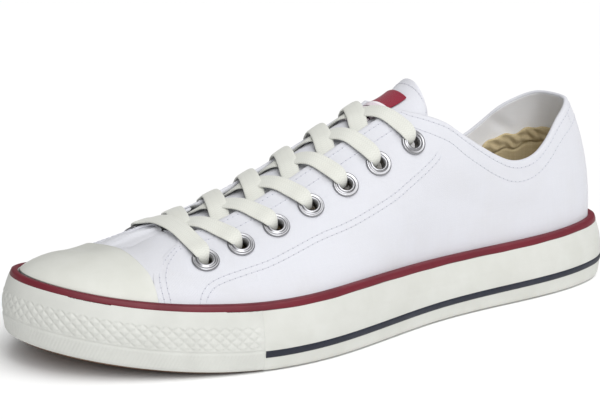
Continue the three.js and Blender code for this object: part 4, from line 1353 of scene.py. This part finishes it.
EYE = {(side, number): at for _, side, number, at, _ in EYELET_PLACES}


# A lace's way down through an eyelet: distance to the middle, height over the form, width, thickness
LACE_DIVE = [
    (8.5, 2.1, 8.0, 1.2), (5.9, 2.6, 8.0, 1.25), (4.2, 2.7, 7.6, 1.3), (2.7, 2.15, 6.6, 1.45),
    (1.7, .9, 5.2, 1.6), (1.2, -.8, 4.3, 1.7), (1.0, -3.2, 4.0, 1.7),
]
# Longest rise of the form over 1 mm of plan at which the lace's distances stay as they are
DIVE_STEEP = 1.45


def dive_rows(eye, way):
    """Rows of a lace path that goes down through an eyelet; way is the plan direction it travels in."""
    near = over(eye[0] - way[0], eye[1] - way[1], 0)
    steep = min(1.0, DIVE_STEEP / float(np.linalg.norm(over(eye[0], eye[1], 0) - near)))
    rows = []
    for back, height, wide, thick in LACE_DIVE:
        back = back * steep + QUARTER_STEP * (1 - steep)
        rows.append((eye[0] - way[0] * back, eye[1] - way[1] * back, height, wide, thick))
    return rows


# Height of a crossing's middle: the strand on top, the one below, and what both lose low and high on the shoe
HUMP_TOP = 1.8
HUMP_BELOW = .1
HUMP_LOSS_LOW = .25
HUMP_LOSS_HIGH = 1.5
HIGH_ROWS_FROM = 4


def crossing(side, number, top):
    """One strand: from under the throat edge on one side, over to the next row's eyelet on the other."""
    eye = EYE[(side, number + 1)]
    start = EYE[(-side, number)]
    x = start[0] - 1.5
    ridge = float(ridge_y(x))
    gap = -side * float(throat_gap(x))
    rise = np.array([x, ridge + gap * .74])
    way = unit(eye[:2] - rise)
    middle = rise + (eye[:2] - rise) * (ridge - rise[1]) / (eye[1] - rise[1])
    leave = middle + way * abs(gap / way[1])
    loss = HUMP_LOSS_HIGH if number >= HIGH_ROWS_FROM else HUMP_LOSS_LOW
    hump = (HUMP_TOP if top else HUMP_BELOW) - loss
    path = [
        (start[0] + 1, start[1] + side * 2.0, -2.7, 4.6, 1.0),
        (start[0] - .5, start[1] + (ridge + gap * 1.3 - start[1]) * .6, -2.35, 7.0, .9),
        (x - way[0] * 2.6, ridge + gap * 1.16, -2.3, 7.4, .9),
        (*rise, -1.3 if top else -1.5, 8.2, 1.1),
        (*(rise * .45 + middle * .55), hump * .7 - .1, 8.5, 1.25),
        (*middle, hump, 8.5, 1.35),
        (*(middle * .5 + leave * .5), hump * .5 + .9, 8.0, 1.35),
        (*leave, 1.85, 7.6, 1.3),
    ]
    return lace(path + [r for r in dive_rows(eye, way) if np.hypot(r[0] - leave[0], r[1] - leave[1]) > 1.5])


for number in range(1, len(EYELETS)):
    points, faces, uv = join([crossing(-1, number, True), crossing(1, number, False)])
    add_mesh(f"lace_crossing_{number}", points, faces, LACE_COTTON, uv=uv, replaces=[f"lace_cross_{number}"])


def bar_piece():
    """The straight strand between the two eyelets of the first row."""
    outer, inner = EYE[(1, 1)], EYE[(-1, 1)]
    way = unit(inner[:2] - outer[:2])
    first = dive_rows(outer, -way)[::-1]
    middle = (outer[:2] + inner[:2]) / 2
    over_tongue = [(*(middle - way * 7), 2.5, 8.0, 1.2), (*middle, 2.9, 8.1, 1.25),
                   (*(middle + way * 7), 2.5, 8.0, 1.2)]
    points, faces, uv = lace(first + over_tongue + dive_rows(inner, way), 110)
    return add_mesh("lace_bar_first_row", points, faces, LACE_COTTON, uv=uv, replaces=["lace_bar"])


bar_piece()


# Heel strip
# Half width of the heel strip, and height of its top end
STRIP_HALF = 7
STRIP_TOP = 81


def heel_strip():
    """Canvas band up the back seam, from the rim to under the collar."""
    y = np.linspace(-STRIP_HALF, STRIP_HALF, 21)
    t = np.linspace(0, 1, 60)
    side = np.where(y >= float(ridge_y(0)), 1.0, -1.0)
    lo = np.where(side > 0, U_HEEL, U_END)
    span_u = place(side, 12.0) - lo
    off = np.abs(y - ridge_y(0))
    reach = lambda m: np.abs(form(lo + span_u * m, .3, 2)[..., 1] - ridge_y(0))
    u = lo + span_u * halve(y.shape, 1, lambda m: reach(m) < off)
    angle_top = halve(y.shape, np.pi / 2, lambda a: form(u, a, 1.5)[..., 2] < STRIP_TOP)
    base = rim_z(0) + .3
    angle_low = halve(y.shape, np.pi / 2, lambda a: form(u, a, 1.5)[..., 2] < base)
    angle = angle_low[:, None] + (angle_top - angle_low)[:, None] * t
    out = form(u[:, None], angle, QUARTER_STEP + .15 + 1.0)
    inn = form(u[:, None], angle, QUARTER_STEP + .15)
    sheet("canvas_heel_strip", out, inn, CANVAS, bulge=.4, replaces=["heel_strip"])
    return out


HEEL_OUT = heel_strip()
HEEL_NORMALS = grid_normals(HEEL_OUT)
HEEL_NORMALS *= np.sign(-HEEL_NORMALS[10, 30, 0])


# Stitching
STITCH = 2.1
STITCH_PITCH = 2.55


def along_offset(grid, distance, axis, backwards=False):
    """The line on a grid that stays a distance in from one of its borders."""
    g = np.flip(grid, axis) if backwards else grid
    g = g if axis == 1 else g.swapaxes(0, 1)
    run = run_length(g, 1)
    return np.array([[np.interp(distance, r, p[:, k]) for k in range(3)] for r, p in zip(run, g)])


def read_along(values, run, distance):
    """A line's values at distances along it."""
    return np.stack([np.interp(distance, run, values[:, k]) for k in range(3)], -1)


# One thread: share of its half length, share of its half width, height in half widths
THREAD_RINGS = np.array([
    (-1, .25, -.7), (-.8, .8, -.15), (-.35, 1, 0), (.35, 1, 0), (.8, .8, -.15), (1, .25, -.7),
])
THREAD_LIFT = .04
THREAD_WIDE = .36
NEEDLE_RADIUS = .27
NEEDLE_DEEP = .25


def stitches(line, normals):
    """Threads laid along a line on the cloth."""
    run = run_length(line[:, None], 0)[:, 0]
    centre = (np.arange(int(run[-1] / STITCH_PITCH)) + .5) * STITCH_PITCH
    normal = unit(read_along(normals, run, centre))
    way = unit(read_along(line, run, centre + STITCH / 2) - read_along(line, run, centre - STITCH / 2))
    side = unit(np.cross(normal, way))
    turns = np.linspace(0, 2 * np.pi, 6, endpoint=False)
    along, round_share, height = (THREAD_RINGS[:, k, None, None] for k in range(3))
    normal, way, side = (v[:, None, None] for v in (normal, way, side))
    middle = read_along(line, run, centre)[:, None, None] + normal * THREAD_LIFT
    beside = round_share * np.cos(turns)[:, None] * THREAD_WIDE / 2
    above = round_share * np.sin(turns)[:, None] * THREAD_WIDE / 2 + height * THREAD_WIDE / 2
    return barrels(middle + way * along * STITCH / 2 + side * beside + normal * above)


def needle_hole_shade(line, normals):
    """Small grey discs of painted shade where the needle went through, between the threads."""
    run = run_length(line[:, None], 0)[:, 0]
    centre = np.arange(1, int(run[-1] / STITCH_PITCH)) * STITCH_PITCH
    if not len(centre):
        centre = run[-1:] / 2
    at = read_along(line, run, centre)
    normal = unit(read_along(normals, run, centre))
    a = unit(np.cross(normal, (.3, .2, 1)))
    b = np.cross(normal, a)
    turns = np.linspace(0, 2 * np.pi, 8, endpoint=False)
    round_hole = np.cos(turns)[:, None] * a[:, None] + np.sin(turns)[:, None] * b[:, None]
    flat = at[:, None] + NEEDLE_RADIUS * round_hole
    heights = (THREAD_LIFT - NEEDLE_DEEP, THREAD_LIFT)
    return barrels(np.stack([flat + normal[:, None] * height for height in heights], 1))


def stitched(name, lines):
    """Threads, and grey discs of painted shade at the needle's places, along lines that come with their
    normals.
    """
    for piece_name, make, finish in ((name, stitches, THREAD), (f"{name}_hole_shade", needle_hole_shade, NEEDLE_HOLE_SHADE)):
        points, faces, uv = join([make(line, normals) for line, normals in lines])
        close_corners(add_mesh(piece_name, points, faces, finish, uv=uv))


def line_normals(line, grid, grid_normal):
    """Normals of the nearest grid points."""
    flat, normal = grid.reshape(-1, 3), grid_normal.reshape(-1, 3)
    tree = KDTree(len(flat))
    for i, p in enumerate(flat):
        tree.insert(p, i)
    tree.balance()
    return np.array([normal[tree.find(p)[1]] for p in line])


def clipped(line, start, end):
    """The line without its first and last stretch."""
    run = run_length(line[:, None], 0)[:, 0]
    return line[(run >= start) & (run <= run[-1] - end)]


# Reinforcement under the eyelets, ankle to toe: share of LENGTH, share of the section's quarter turn
STAY_ROW = [
    (.3728, .328), (.3858, .304), (.4145, .287), (.4503, .301), (.5148, .368), (.5913, .432), (.6409, .444),
    (.6944, .43), (.7315, .418), (.7641, .388), (.7876, .334), (.8013, .231), (.8059, .12), (.807, .06),
]


def stay_line(side, shift):
    s = np.linspace(0, len(STAY_ROW) - 1, 260)
    table = [(k, *r) for k, r in enumerate(STAY_ROW)]
    line = form(place(side, row(table, 1, s) * LENGTH), row(table, 2, s) * np.pi / 2, QUARTER_STEP)
    normal = line_normals(line, QUARTER_OUT, QUARTER_NORMALS)
    line = line + unit(np.cross(normal, np.gradient(line, axis=0))) * shift * side
    return line + normal * folds(line, FOLDS)[:, None]


def on_cloth(line, grid, normals):
    """A line with the normals of the cloth that it lies on."""
    return line, line_normals(line, grid, normals)


def on_quarter(line):
    return on_cloth(line, QUARTER_OUT, QUARTER_NORMALS)


top_lines = [clipped(along_offset(QUARTER_OUT, inset, 1, True), 6, 6) for inset in (2.6, 8.8)]
front_lines = [clipped(along_offset(grid, inset, 0)[FOOT_ROWS + 2:], 0, end)
               for grid in (QUARTER_OUT, QUARTER_OUT[::-1]) for inset, end in ((2.4, 8), (4.9, 10))]
stay_lines = [stay_line(side, shift) for side in (1, -1) for shift in (-1.3, 1.3)]
stitched("quarter_stitching", [on_quarter(line) for line in top_lines + front_lines + stay_lines])

# Four short rows of a tack beside the heel, at shares of the section's quarter turn
TACK = [np.stack([form(place(1, x), rise * np.pi / 2, QUARTER_STEP) for x in np.linspace(17, 22, 6)])
        for rise in (.42, .435, .45, .465)]
stitched("heel_tack", [on_quarter(line) for line in TACK])
strip_lines = [along_offset(grid, 1.6, 0) for grid in (HEEL_OUT, HEEL_OUT[::-1])]
stitched("heel_strip_stitching", [on_cloth(line, HEEL_OUT, HEEL_NORMALS) for line in strip_lines])
tongue_lines = [clipped(along_offset(TONGUE_OUT, 3, *border), 3, 3) for border in ((1,), (1, True), (0,))]
stitched("tongue_stitching", [on_cloth(line, TONGUE_OUT, TONGUE_NORMALS) for line in tongue_lines])


# Camera, light and floor
lens = bpy.data.cameras.new("camera")
lens.lens, lens.sensor_width = LENS, SENSOR
lens.clip_start, lens.clip_end = .02, 60
camera = in_scene("camera", lens)
camera.matrix_world = Matrix((
    (CAMERA_RIGHT[0], CAMERA_UP[0], CAMERA_BACK[0], CAMERA_AT[0] / 1000),
    (CAMERA_RIGHT[1], CAMERA_UP[1], CAMERA_BACK[1], CAMERA_AT[1] / 1000),
    (CAMERA_RIGHT[2], CAMERA_UP[2], CAMERA_BACK[2], CAMERA_AT[2] / 1000),
    (0, 0, 0, 1),
))
bpy.context.scene.camera = camera


def window_light(name, way, power, softness):
    data = bpy.data.lights.new(name, "SUN")
    data.energy, data.angle = power, softness
    lamp = in_scene(name, data)
    lamp.rotation_mode = "QUATERNION"
    lamp.rotation_quaternion = Vector(way).to_track_quat("-Z", "Y")


window_light("ceiling", (.127, -.4, -.906), 1.6, 1.0)
window_light("front", (-.3, -.75, -.6), 1.65, .7)

world = bpy.data.worlds.new("studio")
world.use_nodes = True
sky = world.node_tree.nodes["Background"].inputs
sky["Color"].default_value = (1, 1, 1, 1)
sky["Strength"].default_value = .3
bpy.context.scene.world = world
bpy.context.scene.view_settings.view_transform = "Standard"


def floor_piece():
    """Pale floor, a wide plane in metres."""
    data = bpy.data.meshes.new("floor")
    reach = 12
    corners = [(-reach, -reach, 0), (reach, -reach, 0), (reach, reach, 0), (-reach, reach, 0)]
    data.from_pydata(corners, [], [(0, 1, 2, 3)])
    m, tree, shader, place, _ = material("pale floor", .8, .1)
    cloud = noise(tree, place, 3.0, 2)
    tree.links.new(mix(tree, cloud, rgb(250, 250, 250), rgb(252, 252, 252)), shader.inputs["Base Color"])
    data.materials.append(m)
    piece = in_scene("floor", data)


floor_piece()
